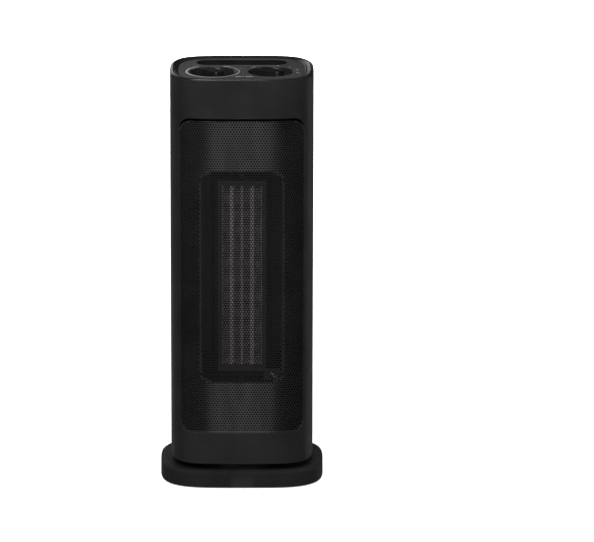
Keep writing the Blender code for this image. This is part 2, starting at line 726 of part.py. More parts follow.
def make_duct_plate(name, z):
    return flat_plate(name, rounded_outline(54, -37, 62, 8, 4), z, z + 2, INNER)


def around_fan(degrees, radius):
    a = math.radians(degrees)
    return (radius * math.cos(a), FAN_Y + radius * math.sin(a))


def make_duct_housing():
    """The floor of the duct with its scroll wall on the left and its short tongue on the right."""
    low, high = DUCT_FLOOR + 1, DUCT_CAP - GAP
    scroll = [around_fan(120 + 95 * i / 12, 36.5 + 5 * i / 12) for i in range(13)] + [(-28, -36)]
    tongue = [(28, -36), (30, -22)] + [around_fan(-30 + 25 * i / 4, 36.5 + 2 * i / 4) for i in range(5)]
    walls = [curved_wall("wall", path, 1.6, low, high) for path in (scroll, tongue)]
    housing = unite(make_duct_plate("duct_housing", DUCT_FLOOR), gather("duct_walls", walls))
    return cut(housing, rod("duct_floor_hole", 6, DUCT_FLOOR - PAST, DUCT_FLOOR + PAST, FAN_CENTRE))


def make_duct_cap():
    cap = make_duct_plate("duct_cap", DUCT_CAP)
    return cut(cap, rod("duct_cap_hole", 8, DUCT_CAP - PAST, DUCT_CAP + PAST, FAN_CENTRE))


def make_top_bearing():
    hole = SHAFT_RADIUS + RUNNING
    profile = [(hole, 406), (7.7, 406), (7.7, 410.3), (10, 410.3), (10, 413), (hole, 413)]
    return ring("top_bearing", profile, FAN_CENTRE, ACETAL, steps=24)


def make_oscillation_motor():
    centre = (CRANK_X, 0.0)
    motor = rod("oscillation_motor", 24.5, 54, SHELF_BOTTOM - GAP, centre, STEEL, steps=32)
    return cut(motor, rod("drive_bore", 3.5 + GAP, 50, 58, centre))


def make_crank():
    """Disc, drive stub and pin; the pin stops just above the slotted arm."""
    profile = [(CRANK_RADIUS + 6, 49.5), (CRANK_RADIUS + 6, 51.8), (3.5, 51.8), (3.5, 57.6)]
    crank = turned("crank", profile, (CRANK_X, 0), ACETAL)
    pin_bottom = ARM_TOP + 0.5
    pin = rod("crank_pin", PIN_RADIUS, pin_bottom, 50.5, (CRANK_X, CRANK_RADIUS), steps=20)
    return unite(crank, pin)


# ---------------------------------------------------------------- assembly


def build_base():
    """Everything that stays put on the table, and the plunger that the table pushes in."""
    make_base_cover()
    make_base_plate()
    make_feet()
    make_base_screws()
    make_swivel_post()
    make_glide_ring()
    make_retaining_ring()
    make_drive_arm()
    make_tip_switch()
    make_cord_gland()
    hang([make_tip_plunger()], "plunger_axis", (*PLUNGER_PLACE, 0))


def build_tower():
    """Everything that swings on the post, and what moves inside it."""
    pieces = [make_front_shell(), make_rear_shell(), make_grille_panel(), make_rear_grille()]
    pieces += [make_dust_filter(), make_tower_floor(), make_swivel_bush(), make_top_rim()]
    pieces += [make_control_panel(), make_pilot_lamp(), make_motor_shelf(), make_switch_shelf()]
    pieces += [make_switch_body("thermostat_body", -1, (15, 13), 487, 510)]
    pieces += [make_switch_body("selector_body", 1, (16, 14), 487, 512)]
    pieces += make_shell_screws() + make_element() + [make_duct_housing(), make_duct_cap()]
    pieces += [make_heater_bracket(), make_thermal_fuse(), make_thermal_cutout()]
    pieces += [make_stator(), make_coil(), make_top_bearing(), make_oscillation_motor()]
    pieces += [make_motor_bracket("motor_bracket_low", 76.3, 79, 78, STATOR_BOTTOM - GAP)]
    pieces += [make_motor_bracket("motor_bracket_high", 107, 110, STATOR_TOP + GAP, 108)]
    tower_axis = hang(pieces, "tower_axis", (0, 0, 0))
    fan = [make_fan_wheel(), make_fan_shaft(), make_rotor()]
    hang(fan, "fan_axis", (*FAN_CENTRE, 0), tower_axis)
    hang([make_crank()], "crank_axis", (CRANK_X, 0, 0), tower_axis)
    for name, side, angle in (
        ("thermostat_knob", -1, THERMOSTAT_ANGLE),
        ("selector_knob", 1, SELECTOR_ANGLE),
    ):
        hang([make_knob(name, side, angle)], name + "_axis", (side * KNOB_X, KNOB_Y, 0), tower_axis)


build_base()
build_tower()
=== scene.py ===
"""The looks of a black oscillating ceramic tower heater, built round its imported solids.

Sizes are millimetres until a mesh is made, and MM turns them into the scene's metres. The grille
faces -Y. What follows the tower's rounded plan is laid out on a Plan: a distance along its outline,
a height, and a depth under its surface.
"""

import json
import math

import bmesh
import bpy
import numpy as np
from mathutils import Matrix, Vector
from mathutils.geometry import delaunay_2d_cdt


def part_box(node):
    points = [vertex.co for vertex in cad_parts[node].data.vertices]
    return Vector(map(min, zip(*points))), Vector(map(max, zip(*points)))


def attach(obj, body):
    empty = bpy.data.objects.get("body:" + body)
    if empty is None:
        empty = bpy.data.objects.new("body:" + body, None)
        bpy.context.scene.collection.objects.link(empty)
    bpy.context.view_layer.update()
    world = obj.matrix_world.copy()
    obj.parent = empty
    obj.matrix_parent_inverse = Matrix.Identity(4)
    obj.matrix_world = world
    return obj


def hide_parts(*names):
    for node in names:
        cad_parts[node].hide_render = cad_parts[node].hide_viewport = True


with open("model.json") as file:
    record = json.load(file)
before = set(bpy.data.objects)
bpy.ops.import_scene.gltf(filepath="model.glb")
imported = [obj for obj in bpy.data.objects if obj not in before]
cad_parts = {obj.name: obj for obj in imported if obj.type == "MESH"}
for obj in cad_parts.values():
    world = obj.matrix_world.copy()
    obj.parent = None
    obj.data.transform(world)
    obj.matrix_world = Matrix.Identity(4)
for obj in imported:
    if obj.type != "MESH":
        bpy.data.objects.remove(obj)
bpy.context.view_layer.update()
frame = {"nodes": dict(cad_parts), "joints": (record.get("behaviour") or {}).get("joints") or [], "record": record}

MM = 0.001
GAP = 0.3  # between parts that touch
EDGE = 0.45  # radius of a moulded edge
WALL = 2.5  # thickness of the shells
TOWER_POWERS, BASE_POWERS = (4.8, 3.14), (4.2, 2.9)  # of the rounded plans
LATHE_STEPS = 72
OUTLINE_POINTS = 240
SHARP_DEGREES = 32
CORNER_SIDES = [(1, 1), (-1, 1), (-1, -1), (1, -1)]  # of a rectangle, counter-clockwise
# Points round a window's corner, along its level edges and along its upright ones
WALL_STEPS, SHEET_STEPS = (32, 20, 24), (16, 40, 100)

# Perforation of the front grille
PITCH = 3.4
HOLE_RADIUS, DIMPLE_RADIUS = 1.28, 1.32
SHEET_INSET, SHEET_BACK, SCREEN_BACK, DIMPLE_FLOOR = 1.2, 3.0, 2.3, 2.3
SCREEN_MARGIN = (21.0, 12.6, 16.2)  # of the open screen round the heater bracket: sides, below, above
SCREEN_RADIUS, WINDOW_RADIUS = 13.5, 15.0
BEAD_HALF, BEAD_HEIGHT = 0.6, 0.15
SHADOW_GAP = 2.8  # over the sheet, under the window's top edge
RIM_OF_HOLE, CELL_MARGIN = 0.12, 0.05  # least distances of a hole and of its cell from the sheet's edge
ROWS, COLUMNS = range(-1, 150), range(-40, 41)  # more than any window holds
FRAME_DROP = 8.0  # from the heating element down to the lower edge of the frame round it
SEAM = 0.02  # between the two sheets, under the bead

# Rear grille
REAR_FRAME, REAR_INSET, REAR_BACK = 7.0, 0.6, 2.6
SLAT_PITCH, SLAT_THICK, SLAT_LEAN = 6.0, 1.5, 1.1

# Heating element
FIN_PITCH, FIN_SHEET = 1.585, 0.34

# Controls
BOWL_RADIUS, BOWL_DEPTH, BOWL_WALL = 28.8, 10.7, 1.6
SLOT_HALF, SLOT_Y, SLOT_WALL, SLOT_FLOOR, SLOT_LIP = (57.5, 16.0), 40.4, 1.6, 2.0, 0.4
SPINDLE_HOLE, LAMP_HOLE = 4.2, 1.7  # radii
PRINT_HEIGHT = 0.06
DIAL_RADIUS, SYMBOL_RADIUS = 33.7, 34.0  # of the marks round the two knobs
# Middle, length and height of the bars that stand for printed words
WORDS = [(-19, 16, 7.5, 1.3), (-4.5, -42, 7, 1.5), (1.6, -42, 2, 1.5), (9.0, -42, 9, 1.5)]
# Degrees round the right-hand knob, and what is printed there
SYMBOLS = [(130, "bar"), (75, "dot"), (46, "square"), (18, "two waves"), (-12, "three waves")]

# Base
BEVEL_IN, BEVEL_DOWN = 5.0, 2.0
POST_HOLE, CORD_HOLE = 21.5, 5.3  # radii

# Camera, in metres and degrees, with its lens in millimetres
AIM_HEIGHT, CAMERA_DISTANCE, CAMERA_ELEVATION = 0.2664, 5.764, 15.088
LENS, SHIFT_X = 274.5, 0.0928

# Studio, in metres and degrees from the front, positive to the right
FLOOR_HALF, FLOOR_GLOW = 40.0, 0.25
# Name, azimuth, elevation, distance, size, watts, and whether reflections show it
LAMPS = [
    ("key", -18, 42, 3.0, (1.5, 1.0), 85, True),
    ("overhead", 0, 62, 2.6, (1.6, 0.8), 40, False),
    ("rear_fill", 180, 8, 3.0, (1.5, 1.0), 55, False),
    ("right_fill", 100, 10, 3.0, (1.0, 1.0), 40, False),
]
# Name, first and last azimuth, lowest and highest height, radiance
CARDS = [
    ("front_card", -7.9, 6.5, -0.55, 0.5, 1.32),
    ("left_card", -132, -108, -1.3, 1.2, 0.25),
    ("left_back_card", -176, -137, -1.3, 0.4, 0.3),
    ("right_card", 102, 140, -1.3, 0.4, 0.45),
    ("right_back_card", 140, 176, -1.3, 0.4, 0.15),
    ("rim_card", -174, -152, 0.42, 1.5, 0.75),
    ("base_card", 170, 190, 0.36, 0.6, 0.5),
    ("rim_fill", 158, 174, 0.15, 0.75, 0.12),
    ("left_flag", -160, -80, -1.3, 1.6, 0.0),
    ("right_flag", 50, 130, -1.3, 1.6, 0.0),
]


def box_of(node):
    """Lowest and highest corner of a CAD node in millimetres."""
    low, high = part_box(node)
    return low / MM, high / MM


def middle_of(node):
    low, high = box_of(node)
    return (low + high) / 2


PANEL_LOW, PANEL_HIGH = box_of("control_panel")
PANEL_Z = PANEL_HIGH.z
ELEMENT_LOW = box_of("edge_rail_left")[0]


# ---------------------------------------------------------------- meshes


def shade(mesh, sharp_degrees=SHARP_DEGREES):
    """Smooth shading, except over edges sharper than that."""
    mesh.shade_smooth()
    mesh.set_sharp_from_angle(angle=math.radians(sharp_degrees))


def make_mesh(points, faces, sharp_degrees=SHARP_DEGREES):
    mesh = bpy.data.meshes.new("made")
    mesh.from_pydata((np.asarray(points, float) * MM).tolist(), [], faces)
    work = bmesh.new()
    work.from_mesh(mesh)
    bmesh.ops.recalc_face_normals(work, faces=work.faces)
    work.to_mesh(mesh)
    work.free()
    shade(mesh, sharp_degrees)
    return mesh


def band(a, b, count):
    """Faces between two closed loops of count points, which start at the indices a and b."""
    return [(a + k, a + (k + 1) % count, b + (k + 1) % count, b + k) for k in range(count)]


def loft(loops, hoop=False, sharp_degrees=SHARP_DEGREES):
    """Joins loops of equally many points. A hoop closes on its first loop, a bar gets two caps."""
    count, number = len(loops[0]), len(loops)
    faces = []
    for i in range(number if hoop else number - 1):
        faces += band(i * count, (i + 1) % number * count, count)
    if not hoop:
        faces.append(tuple(reversed(range(count))))
        faces.append(tuple(range((number - 1) * count, number * count)))
    return make_mesh(np.concatenate([np.asarray(loop, float) for loop in loops]), faces, sharp_degrees)


def join(meshes):
    """One mesh of several closed bodies."""
    work = bmesh.new()
    for mesh in meshes:
        work.from_mesh(mesh)
    joined = bpy.data.meshes.new("joined")
    work.to_mesh(joined)
    work.free()
    return joined


def smooth_line(stations, steps):
    """A Catmull-Rom line through stations, which may have any number of coordinates."""
    known = np.asarray(stations, float)
    padded = np.vstack([2 * known[0] - known[1], known, 2 * known[-1] - known[-2]])
    line = []
    for i in range(len(known) - 1):
        p0, p1, p2, p3 = padded[i : i + 4]
        for k in range(steps):
            t = k / steps
            bend = 2 * p0 - 5 * p1 + 4 * p2 - p3
            twist = 3 * p1 - p0 - 3 * p2 + p3
            line.append(0.5 * (2 * p1 + (p2 - p0) * t + bend * t * t + twist * t**3))
    return np.array(line + [known[-1]]).tolist()


def circle(radius, z, centre=(0.0, 0.0), steps=LATHE_STEPS):
    a = np.arange(steps) * math.tau / steps
    return np.column_stack([centre[0] + radius * np.cos(a), centre[1] + radius * np.sin(a), a * 0 + z])


def turned(profile, centre=(0.0, 0.0), steps=LATHE_STEPS, hoop=False):
    """A body turned about an upright axis from (radius, z)."""
    return loft([circle(r, z, centre, steps) for r, z in profile], hoop)


def turned_along_y(profile, x, z, steps=LATHE_STEPS, hoop=False):
    """A body turned about an axis along y from (radius, y)."""
    loops = []
    for radius, y in profile:
        flat = circle(radius, 0, steps=steps)
        loops.append(np.column_stack([x + flat[:, 0], flat[:, 2] + y, z + flat[:, 1]]))
    return loft(loops, hoop)


def extruded(outline, low, high):
    """An upright bar on a plan outline."""
    return loft([[(x, y, z) for x, y in outline] for z in (low, high)])


def rounded_box(low, high, edge):
    """A box with its upright and its top and bottom edges rounded over."""
    loops = []
    for drop, grow in quarter_round(edge):
        loops.append(box_outline(low, high, grow, edge, low[2] + drop))
    for drop, grow in reversed(quarter_round(edge)):
        loops.append(box_outline(low, high, grow, edge, high[2] - drop))
    return loft(loops)


def quarter_round(radius, steps=3):
    """Pairs of height and inset along a rounded edge, from the flat face to the wall."""
    turns = [math.pi / 2 * i / steps for i in range(steps + 1)]
    return [(radius * (1 - math.cos(a)), radius * (1 - math.sin(a))) for a in turns]


def corner_turns(steps):
    """Round a rectangle's four corners: the sides a corner is on, and directions that turn round it."""
    for quarter, sides in enumerate(CORNER_SIDES):
        for i in range(steps + 1):
            a = math.pi / 2 * (quarter + i / steps)
            yield sides, (math.cos(a), math.sin(a))


def box_outline(low, high, inset, radius, z):
    """A box's plan, moved in by inset, with rounded corners that never shrink to points."""
    radius += 0.01
    reach = radius - inset
    loop = []
    for (side_x, side_y), (turn_x, turn_y) in corner_turns(3):
        x = (high if side_x > 0 else low)[0] - side_x * radius
        y = (high if side_y > 0 else low)[1] - side_y * radius
        loop.append((x + reach * turn_x, y + reach * turn_y, z))
    return loop


def carve(body, *steps):
    """Applies (operation, mesh) booleans in turn and returns the finished mesh."""
    scene = bpy.context.scene
    item = bpy.data.objects.new("carved", body)
    scene.collection.objects.link(item)
    tools = []
    for operation, mesh in steps:
        tool = bpy.data.objects.new("tool", mesh)
        scene.collection.objects.link(tool)
        tools.append(tool)
        boolean = item.modifiers.new("boolean", "BOOLEAN")
        boolean.operation = operation
        boolean.object = tool
        boolean.solver = "EXACT"
    shape = item.evaluated_get(bpy.context.evaluated_depsgraph_get())
    result = bpy.data.meshes.new_from_object(shape)
    for made in [item, *tools]:
        bpy.data.objects.remove(made, do_unlink=True)
    shade(result)
    return result


# ---------------------------------------------------------------- plans


class Plan:
    """A superellipse in plan, walked by arc length from the middle of its front or rear face."""

    def __init__(self, half_x, half_y, powers, facing=-1, samples=6000):
        turn = np.linspace(-math.pi, math.pi, samples + 1)
        self.half, self.powers = (half_x, half_y), powers
        self.x = half_x * np.sign(np.sin(turn)) * np.abs(np.sin(turn)) ** (2 / powers[0])
        self.y = facing * half_y * np.sign(np.cos(turn)) * np.abs(np.cos(turn)) ** (2 / powers[1])
        steps = np.hypot(np.diff(self.x), np.diff(self.y))
        length = np.concatenate([[0], np.cumsum(steps)])
        self.s = length - length[samples // 2]
        self.near = np.abs(turn) <= math.pi / 2
        self.right = turn >= 0
        self.facing = facing

    def s_of_x(self, x):
        return np.interp(x, self.x[self.near], self.s[self.near])

    def x_of_s(self, s):
        return np.interp(s, self.s, self.x)

    def s_of_y(self, y):
        """Distance to the point on the right-hand side at that y."""
        return np.interp(-self.facing * y, -self.facing * self.y[self.right], self.s[self.right])

    def at(self, s, z, inset=0.0):
        s, z = np.broadcast_arrays(np.asarray(s, float), np.asarray(z, float))
        x, y = np.interp(s, self.s, self.x), np.interp(s, self.s, self.y)
        normal = [
            power / half * np.sign(v) * np.abs(v / half) ** (power - 1)
            for v, half, power in zip((x, y), self.half, self.powers)
        ]
        size = np.hypot(*normal)
        return np.column_stack([x - normal[0] / size * inset, y - normal[1] / size * inset, z])

    def ring(self, z, inset=0.0, count=OUTLINE_POINTS):
        s = np.linspace(self.s[0], self.s[-1], count, endpoint=False)
        return self.at(s, z, inset)


def window_rays(window, arc_steps, x_steps, z_steps):
    """Round a window: the centres its corners turn about, carried along the straight edges, and the
    outward directions. A point of the outline is a centre plus the corner radius along its direction."""
    half_x, low, high, radius = window
    centres = [(x * (half_x - radius), high - radius if z > 0 else low + radius) for x, z in CORNER_SIDES]
    rays = []
    for quarter, centre in enumerate(centres):
        for i in range(arc_steps + 1):
            a = math.pi / 2 * (quarter + i / arc_steps)
            rays.append((centre, (math.cos(a), math.sin(a))))
        following, steps = centres[(quarter + 1) % 4], (x_steps, z_steps)[quarter % 2]
        for i in range(1, steps):
            between = tuple(c + (f - c) * i / steps for c, f in zip(centre, following))
            rays.append((between, rays[-1][1]))
    return np.array([r[0] for r in rays]), np.array([r[1] for r in rays])


def outline_on(plan, window, grow=0.0):
    """Distances and heights of a window's outline on a plan, moved outwards by grow."""
    centres, directions = window_rays(window, *SHEET_STEPS)
    points = centres + (window[3] + grow) * directions
    return plan.s_of_x(points[:, 0]), points[:, 1]


def framed_wall(plan, window, side_s, low, high, spans=30):
    """A curved wall round a window: out over its face, round its outline and back over its inside."""
    centres, directions = window_rays(window, *WALL_STEPS)
    reach = np.abs(directions) / np.abs(directions).max(axis=1, keepdims=True)

    def loop(share, inset, from_window, from_edge):
        inner = centres + (window[3] + from_window) * directions
        inner_s = plan.s_of_x(inner[:, 0])
        centre_s = plan.s_of_x(centres[:, 0])
        outer_s = np.where(directions[:, 0] > 0, side_s - from_edge, from_edge - side_s)
        outer_z = np.where(directions[:, 1] > 0, high - from_edge, low + from_edge)
        outer_s = centre_s + (outer_s - centre_s) * reach[:, 0]
        outer_z = centres[:, 1] + (outer_z - centres[:, 1]) * reach[:, 1]
        s = inner_s + (outer_s - inner_s) * share
        z = inner[:, 1] + (outer_z - inner[:, 1]) * share
        return plan.at(s, z, inset)

    edge = quarter_round(EDGE)
    loops = [loop(k / spans, 0, EDGE, EDGE) for k in range(spans)]
    loops += [loop(1, inset, EDGE, from_edge) for inset, from_edge in edge]
    loops += [loop(k / spans, WALL, 0, 0) for k in range(spans, -1, -1)]
    loops += [loop(0, inset, from_window, EDGE) for inset, from_window in reversed(edge[1:])]
    return loft(loops, hoop=True)


# ---------------------------------------------------------------- perforated sheets


def polygon(radius, sides):
    """The corners of a hexagon with a corner at the top, or of a finer polygon, round the origin."""
    turns = math.radians(30) + np.arange(sides) * math.tau / sides
    return radius * np.column_stack([np.cos(turns), np.sin(turns)])


class Pattern:
    """Hexagonal cells, one hole in each, on the flattened face of a wall. Rows count down from its top."""

    def __init__(self, top_row):
        self.top_row = top_row
        self.rise = PITCH * math.sqrt(3) / 2

    def centre(self, column, row):
        return ((column + row % 2 / 2) * PITCH, self.top_row - row * self.rise)

    def between_rows(self, z):
        """The height midway between two rows that is nearest to z."""
        return self.top_row - (round((self.top_row - z) / self.rise - 0.5) + 0.5) * self.rise

    def cells(self, accepts):
        """The (column, row) of every cell whose centre is accepted."""
        everything = [(column, row) for row in ROWS for column in COLUMNS]
        return [cell for cell in everything if accepts(*self.centre(*cell))]

    def corners(self, column, row):
        return np.array(self.centre(column, row)) + polygon(PITCH / math.sqrt(3), 6)

    def cell_at(self, s, z):
        near = round((self.top_row - z) / self.rise)
        options = []
        for row in (near - 1, near, near + 1):
            column = round(s / PITCH - row % 2 / 2)
            x, y = self.centre(column, row)
            options.append((math.hypot(x - s, y - z), (column, row)))
        return min(options)[1]


def inside(window, x, z, margin=0.0):
    """Whether points are in a rounded window, at least margin from its edge."""
    half_x, low, high, radius = window
    over_x = np.maximum(np.abs(x) - (half_x - radius), 0)
    over_z = np.maximum(np.abs(z - (low + high) / 2) - ((high - low) / 2 - radius), 0)
    return np.hypot(over_x, over_z) <= radius - margin


def held_off(window, x, z, margin):
    """Moves points that come nearer than margin to a rounded window's edge back to it. They belong
    inside the window, or outside it where the margin is negative."""
    half_x, low, high, radius = window
    middle, core_x, core_z = (low + high) / 2, half_x - radius, (high - low) / 2 - radius
    over_x, over_z = np.maximum(np.abs(x) - core_x, 0), np.maximum(np.abs(z - middle) - core_z, 0)
    reach, wanted = np.hypot(over_x, over_z), radius - margin
    astray = reach > wanted if margin > 0 else reach < wanted
    scale = np.where(astray, wanted / np.maximum(reach, 1e-6), 1.0)
    moved_x = np.where(over_x > 0, np.sign(x) * (core_x + over_x * scale), x)
    moved_z = np.where(over_z > 0, middle + np.sign(z - middle) * (core_z + over_z * scale), z)
    return moved_x, moved_z


def border_triangles(pattern, kept, corner_points, cell_corners, outlines, accepts):
    """Triangles between the outer sides of the kept cells and the outlines. The points are the
    corners followed by the outlines' points."""
    used = {}
    for corners in cell_corners:
        for a, b in zip(corners, np.roll(corners, -1)):
            key = (min(a, b), max(a, b))
            used[key] = used.get(key, 0) + 1
    rim = [key for key, times in used.items() if times == 1]
    rim_ids = sorted({int(i) for key in rim for i in key})
    place = {full: small for small, full in enumerate(rim_ids)}
    points = [Vector(corner_points[i]) for i in rim_ids]
    edges = [(place[int(a)], place[int(b)]) for a, b in rim]
    names = list(rim_ids)
    start = len(corner_points)
    for outline in outlines:
        first = len(points)
        points += [Vector(p) for p in outline]
        names += range(start, start + len(outline))
        start += len(outline)
        edges += [(first + k, first + (k + 1) % len(outline)) for k in range(len(outline))]
    result = delaunay_2d_cdt(points, edges, [], 0, 1e-6)
    new_points, new_faces, sources = result[0], result[2], result[3]
    chosen = []
    for face in new_faces:
        middle = sum((new_points[i] for i in face), Vector((0, 0))) / len(face)
        free = pattern.cell_at(*middle) not in kept
        if free and accepts(middle.x, middle.y):
            chosen.append(tuple(names[sources[i][0]] for i in face))
    return chosen


def fitted_cells(plan, pattern, outer, inner, accepts):
    """The accepted cells between two windows, the points at their corners, and six indices of such
    points for each cell."""
    kept = pattern.cells(accepts)
    corners = np.concatenate([pattern.corners(*cell) for cell in kept])
    x, z = held_off(outer, plan.x_of_s(corners[:, 0]), corners[:, 1], CELL_MARGIN)
    if inner:
        x, z = held_off(inner, x, z, -CELL_MARGIN)
    corners = np.round(np.column_stack([plan.s_of_x(x), z]), 3)
    points, indices = np.unique(corners, axis=0, return_inverse=True)
    return kept, points, indices.reshape(-1, 6)


def cell_faces(six, ring, sides):
    """The flat faces between a cell's corners and its hole, whose points start at the index ring."""
    per_side = sides // 6
    faces = []
    for i in range(6):
        along = [ring + (per_side * (i + 1) - k) % sides for k in range(per_side + 1)]
        faces.append((six[i], six[(i + 1) % 6], *along))
    return faces


def perforated_sheet(plan, pattern, outer, inner, radius, sides, back, looks, floor=None):
    """A curved sheet with every hole that fits between two windows. With a floor the holes are dimples down to
    that inset, in the second of the looks, which paints shade into their walls and floors. sides is a multiple of
    six."""

    def on_sheet(s, z, margin=0.0):
        x = plan.x_of_s(s)
        return inside(outer, x, z, margin) and not (inner and inside(inner, x, z, -margin))

    def holds_hole(s, z):
        return on_sheet(s, z, radius + RIM_OF_HOLE)

    kept, corner_points, cell_corners = fitted_cells(plan, pattern, outer, inner, holds_hole)
    outlines = [np.column_stack(outline_on(plan, w)) for w in (outer, inner) if w]
    border = border_triangles(pattern, set(kept), corner_points, cell_corners, outlines, on_sheet)
    flat = np.concatenate([corner_points, *outlines])
    centres = np.array([pattern.centre(*cell) for cell in kept])
    rings = (centres[:, None, :] + polygon(radius, sides)[None]).reshape(-1, 2)
    points = [plan.at(*flat.T, SHEET_INSET), plan.at(*flat.T, back)]
    points += [plan.at(*rings.T, SHEET_INSET), plan.at(*rings.T, floor or back)]
    behind, tops = len(flat), 2 * len(flat)
    bottoms = tops + len(rings)

    faces, recessed = list(border) + [tuple(behind + i for i in reversed(face)) for face in border], []
    for index, six in enumerate(cell_corners.tolist()):
        top, bottom = tops + index * sides, bottoms + index * sides
        back_six = [behind + i for i in six]
        faces += cell_faces(six, top, sides)
        if floor:
            recessed += [*band(top, bottom, sides), tuple(range(bottom, bottom + sides))]
            faces.append(tuple(reversed(back_six)))
        else:
            faces += band(top, bottom, sides)
            faces += [tuple(reversed(face)) for face in cell_faces(back_six, bottom, sides)]
    start = len(corner_points)
    for outline in outlines:
        faces += band(start, behind + start, len(outline))
        start += len(outline)
    mesh = make_mesh(np.concatenate(points), faces + recessed)
    for look in looks:
        mesh.materials.append(LOOKS[look].material)
    mesh.polygons.foreach_set("material_index", [0] * len(faces) + [1] * len(recessed))
    return mesh


# ---------------------------------------------------------------- materials


class Finish:
    """A Principled material, built up from textures on the object's own coordinates."""

    def __init__(self, name):
        self.material = bpy.data.materials.new(name)
        self.material.use_nodes = True
        self.nodes = self.material.node_tree.nodes
        self.link = self.material.node_tree.links.new
        self.shader = self.nodes["Principled BSDF"]
        self.place = self.nodes.new("ShaderNodeTexCoord").outputs["Object"]

    def fix(self, name, value):
        """Gives one of the shader's sockets the same value all over."""
        self.shader.inputs[name].default_value = value

    def feed(self, name, value):
        self.link(value, self.shader.inputs[name])

    def fed(self, name):
        """What feeds one of the shader's sockets."""
        return self.shader.inputs[name].links[0].from_socket

    def node(self, kind, output, **inputs):
        """Adds a node and returns one of its outputs. Its inputs are given values or sockets."""
        made = self.nodes.new("ShaderNode" + kind)
        for name, value in inputs.items():
            socket = made.inputs[name.replace("_", " ")]
            if isinstance(value, bpy.types.NodeSocket):
                self.link(value, socket)
            else:
                socket.default_value = value
        return made.outputs[output]

    def noise(self, scale, detail=3.0, stretch=None):
        """Noise with scale features per metre, which a stretch below 1 draws out along an axis."""
        place = self.place
        if stretch:
            place = self.node("Mapping", "Vector", Scale=stretch, Vector=place)
        return self.node("TexNoise", "Fac", Scale=scale, Detail=detail, Vector=place)

    def bands(self, direction, scale, distortion=0.0):
        height = self.node("TexWave", "Fac", Scale=scale, Distortion=distortion, Vector=self.place)
        height.node.bands_direction = direction
        return height

    def along(self, axis, start, end):
        """0 to 1 as a coordinate goes from start to end, given in millimetres."""
        value = self.node("SeparateXYZ", axis, Vector=self.place)
        return self.node("MapRange", "Result", From_Min=start * MM, From_Max=end * MM, Value=value)

    def ramp(self, value, low, high, start=0.35, end=0.65):
        """Maps a value between two colours or two grey levels."""
        colour = self.node("ValToRGB", "Color", Fac=value)
        for element, position, level in zip(colour.node.color_ramp.elements, (start, end), (low, high)):
            element.position = position
            element.color = (*(level if isinstance(level, tuple) else grey(level)), 1.0)
        return colour

    def mix(self, factor, a, b):
        """Mixes two colours; b is a socket or a colour."""
        made = self.nodes.new("ShaderNodeMix")
        made.data_type = "RGBA"
        self.link(factor, made.inputs["Factor"])
        self.link(a, made.inputs[6])
        if isinstance(b, tuple):
            made.inputs[7].default_value = (*b, 1.0)
        else:
            self.link(b, made.inputs[7])
        return made.outputs[2]

    def bump(self, height, depth):
        """Raises the surface by a texture, up to depth millimetres."""
        self.feed("Normal", self.node("Bump", "Normal", Strength=1.0, Distance=depth * MM, Height=height))

    def cover(self, texture, low, high, roughness, depth, spread=(0.35, 0.65)):
        """Takes colour, roughness and height from one texture."""
        self.feed("Base Color", self.ramp(texture, low, high, *spread))
        self.feed("Roughness", self.ramp(texture, *roughness))
        self.bump(texture, depth)
        return self


def grey(level):
    return (level, level, level)


def scaled(colour, factor):
    return tuple(min(1.0, c * factor) for c in colour)


def moulded(name, colour, roughness, specular, grain, depth, wear=1.6):
    """Moulded plastic: fine spark-eroded grain, soft mottling, faint handling marks, rubbed edges."""
    finish = Finish(name)
    tone = finish.ramp(finish.noise(22, 4), scaled(colour, 0.86), scaled(colour, 1.16))
    pointed = finish.nodes.new("ShaderNodeNewGeometry").outputs["Pointiness"]
    rubbed = finish.ramp(pointed, 0.0, 1.0, 0.53, 0.62)
    finish.feed("Base Color", finish.mix(rubbed, tone, scaled(colour, wear)))
    smears = finish.noise(60, 5, (1.0, 1.0, 0.25))
    finish.feed("Roughness", finish.ramp(smears, roughness - 0.04, roughness + 0.05))
    finish.bump(finish.noise(1000 / grain, 2), depth)
    finish.fix("Specular IOR Level", specular)
    return finish


def metal(name, colour, roughness, stretch, metallic):
    """Drawn or rolled metal with fine lines along one way and slight staining."""
    finish = Finish(name)
    finish.feed("Base Color", finish.ramp(finish.noise(45, 4), scaled(colour, 0.8), colour))
    lines = finish.noise(900, 3, stretch)
    finish.feed("Roughness", finish.ramp(lines, roughness - 0.08, roughness + 0.1))
    finish.bump(lines, 0.02)
    finish.fix("Metallic", metallic)
    return finish


def panel_finish(colour, recess_shade_colour, roughness, recess_roughness, specular):
    """A grained flat top over polished bowls and slot, with painted shade making the bowls and slot far darker."""
    finish = moulded("panel_grey", colour, roughness, specular, 0.3, 0.006)
    level = finish.along("Z", PANEL_Z - 0.6, PANEL_Z - 0.15)
    cloud = finish.noise(60)
    # Painted shade: below the top face the bowls and slot take the darker recess colour.
    recess = finish.ramp(cloud, scaled(recess_shade_colour, 0.85), recess_shade_colour)
    smooth = finish.ramp(cloud, recess_roughness - 0.03, recess_roughness + 0.05)
    for name, recessed in (("Base Color", recess), ("Roughness", smooth)):
        finish.feed(name, finish.mix(level, recessed, finish.fed(name)))
    return finish


def fin_finish(colour, fin_shade_colour, roughness):
    """Aluminium whose colour falls to near black just behind its front edges: painted shade deep between the fins.
    """
    finish = metal("fin_aluminium", colour, roughness, (1.0, 0.1, 1.0), 0.3)
    # Painted shade: from 0.2 to 0.9 mm behind the front edges the colour fades to the dark shade colour.
    depth = finish.along("Y", ELEMENT_LOW.y + 0.2, ELEMENT_LOW.y + 0.9)
    finish.feed("Base Color", finish.mix(depth, finish.fed("Base Color"), fin_shade_colour))
    return finish


def make_ceramic():
    finish = Finish("pale_ceramic")
    return finish.cover(finish.noise(1400, 2), (0.6, 0.56, 0.51), (0.78, 0.75, 0.7), (0.45, 0.6), 0.02)


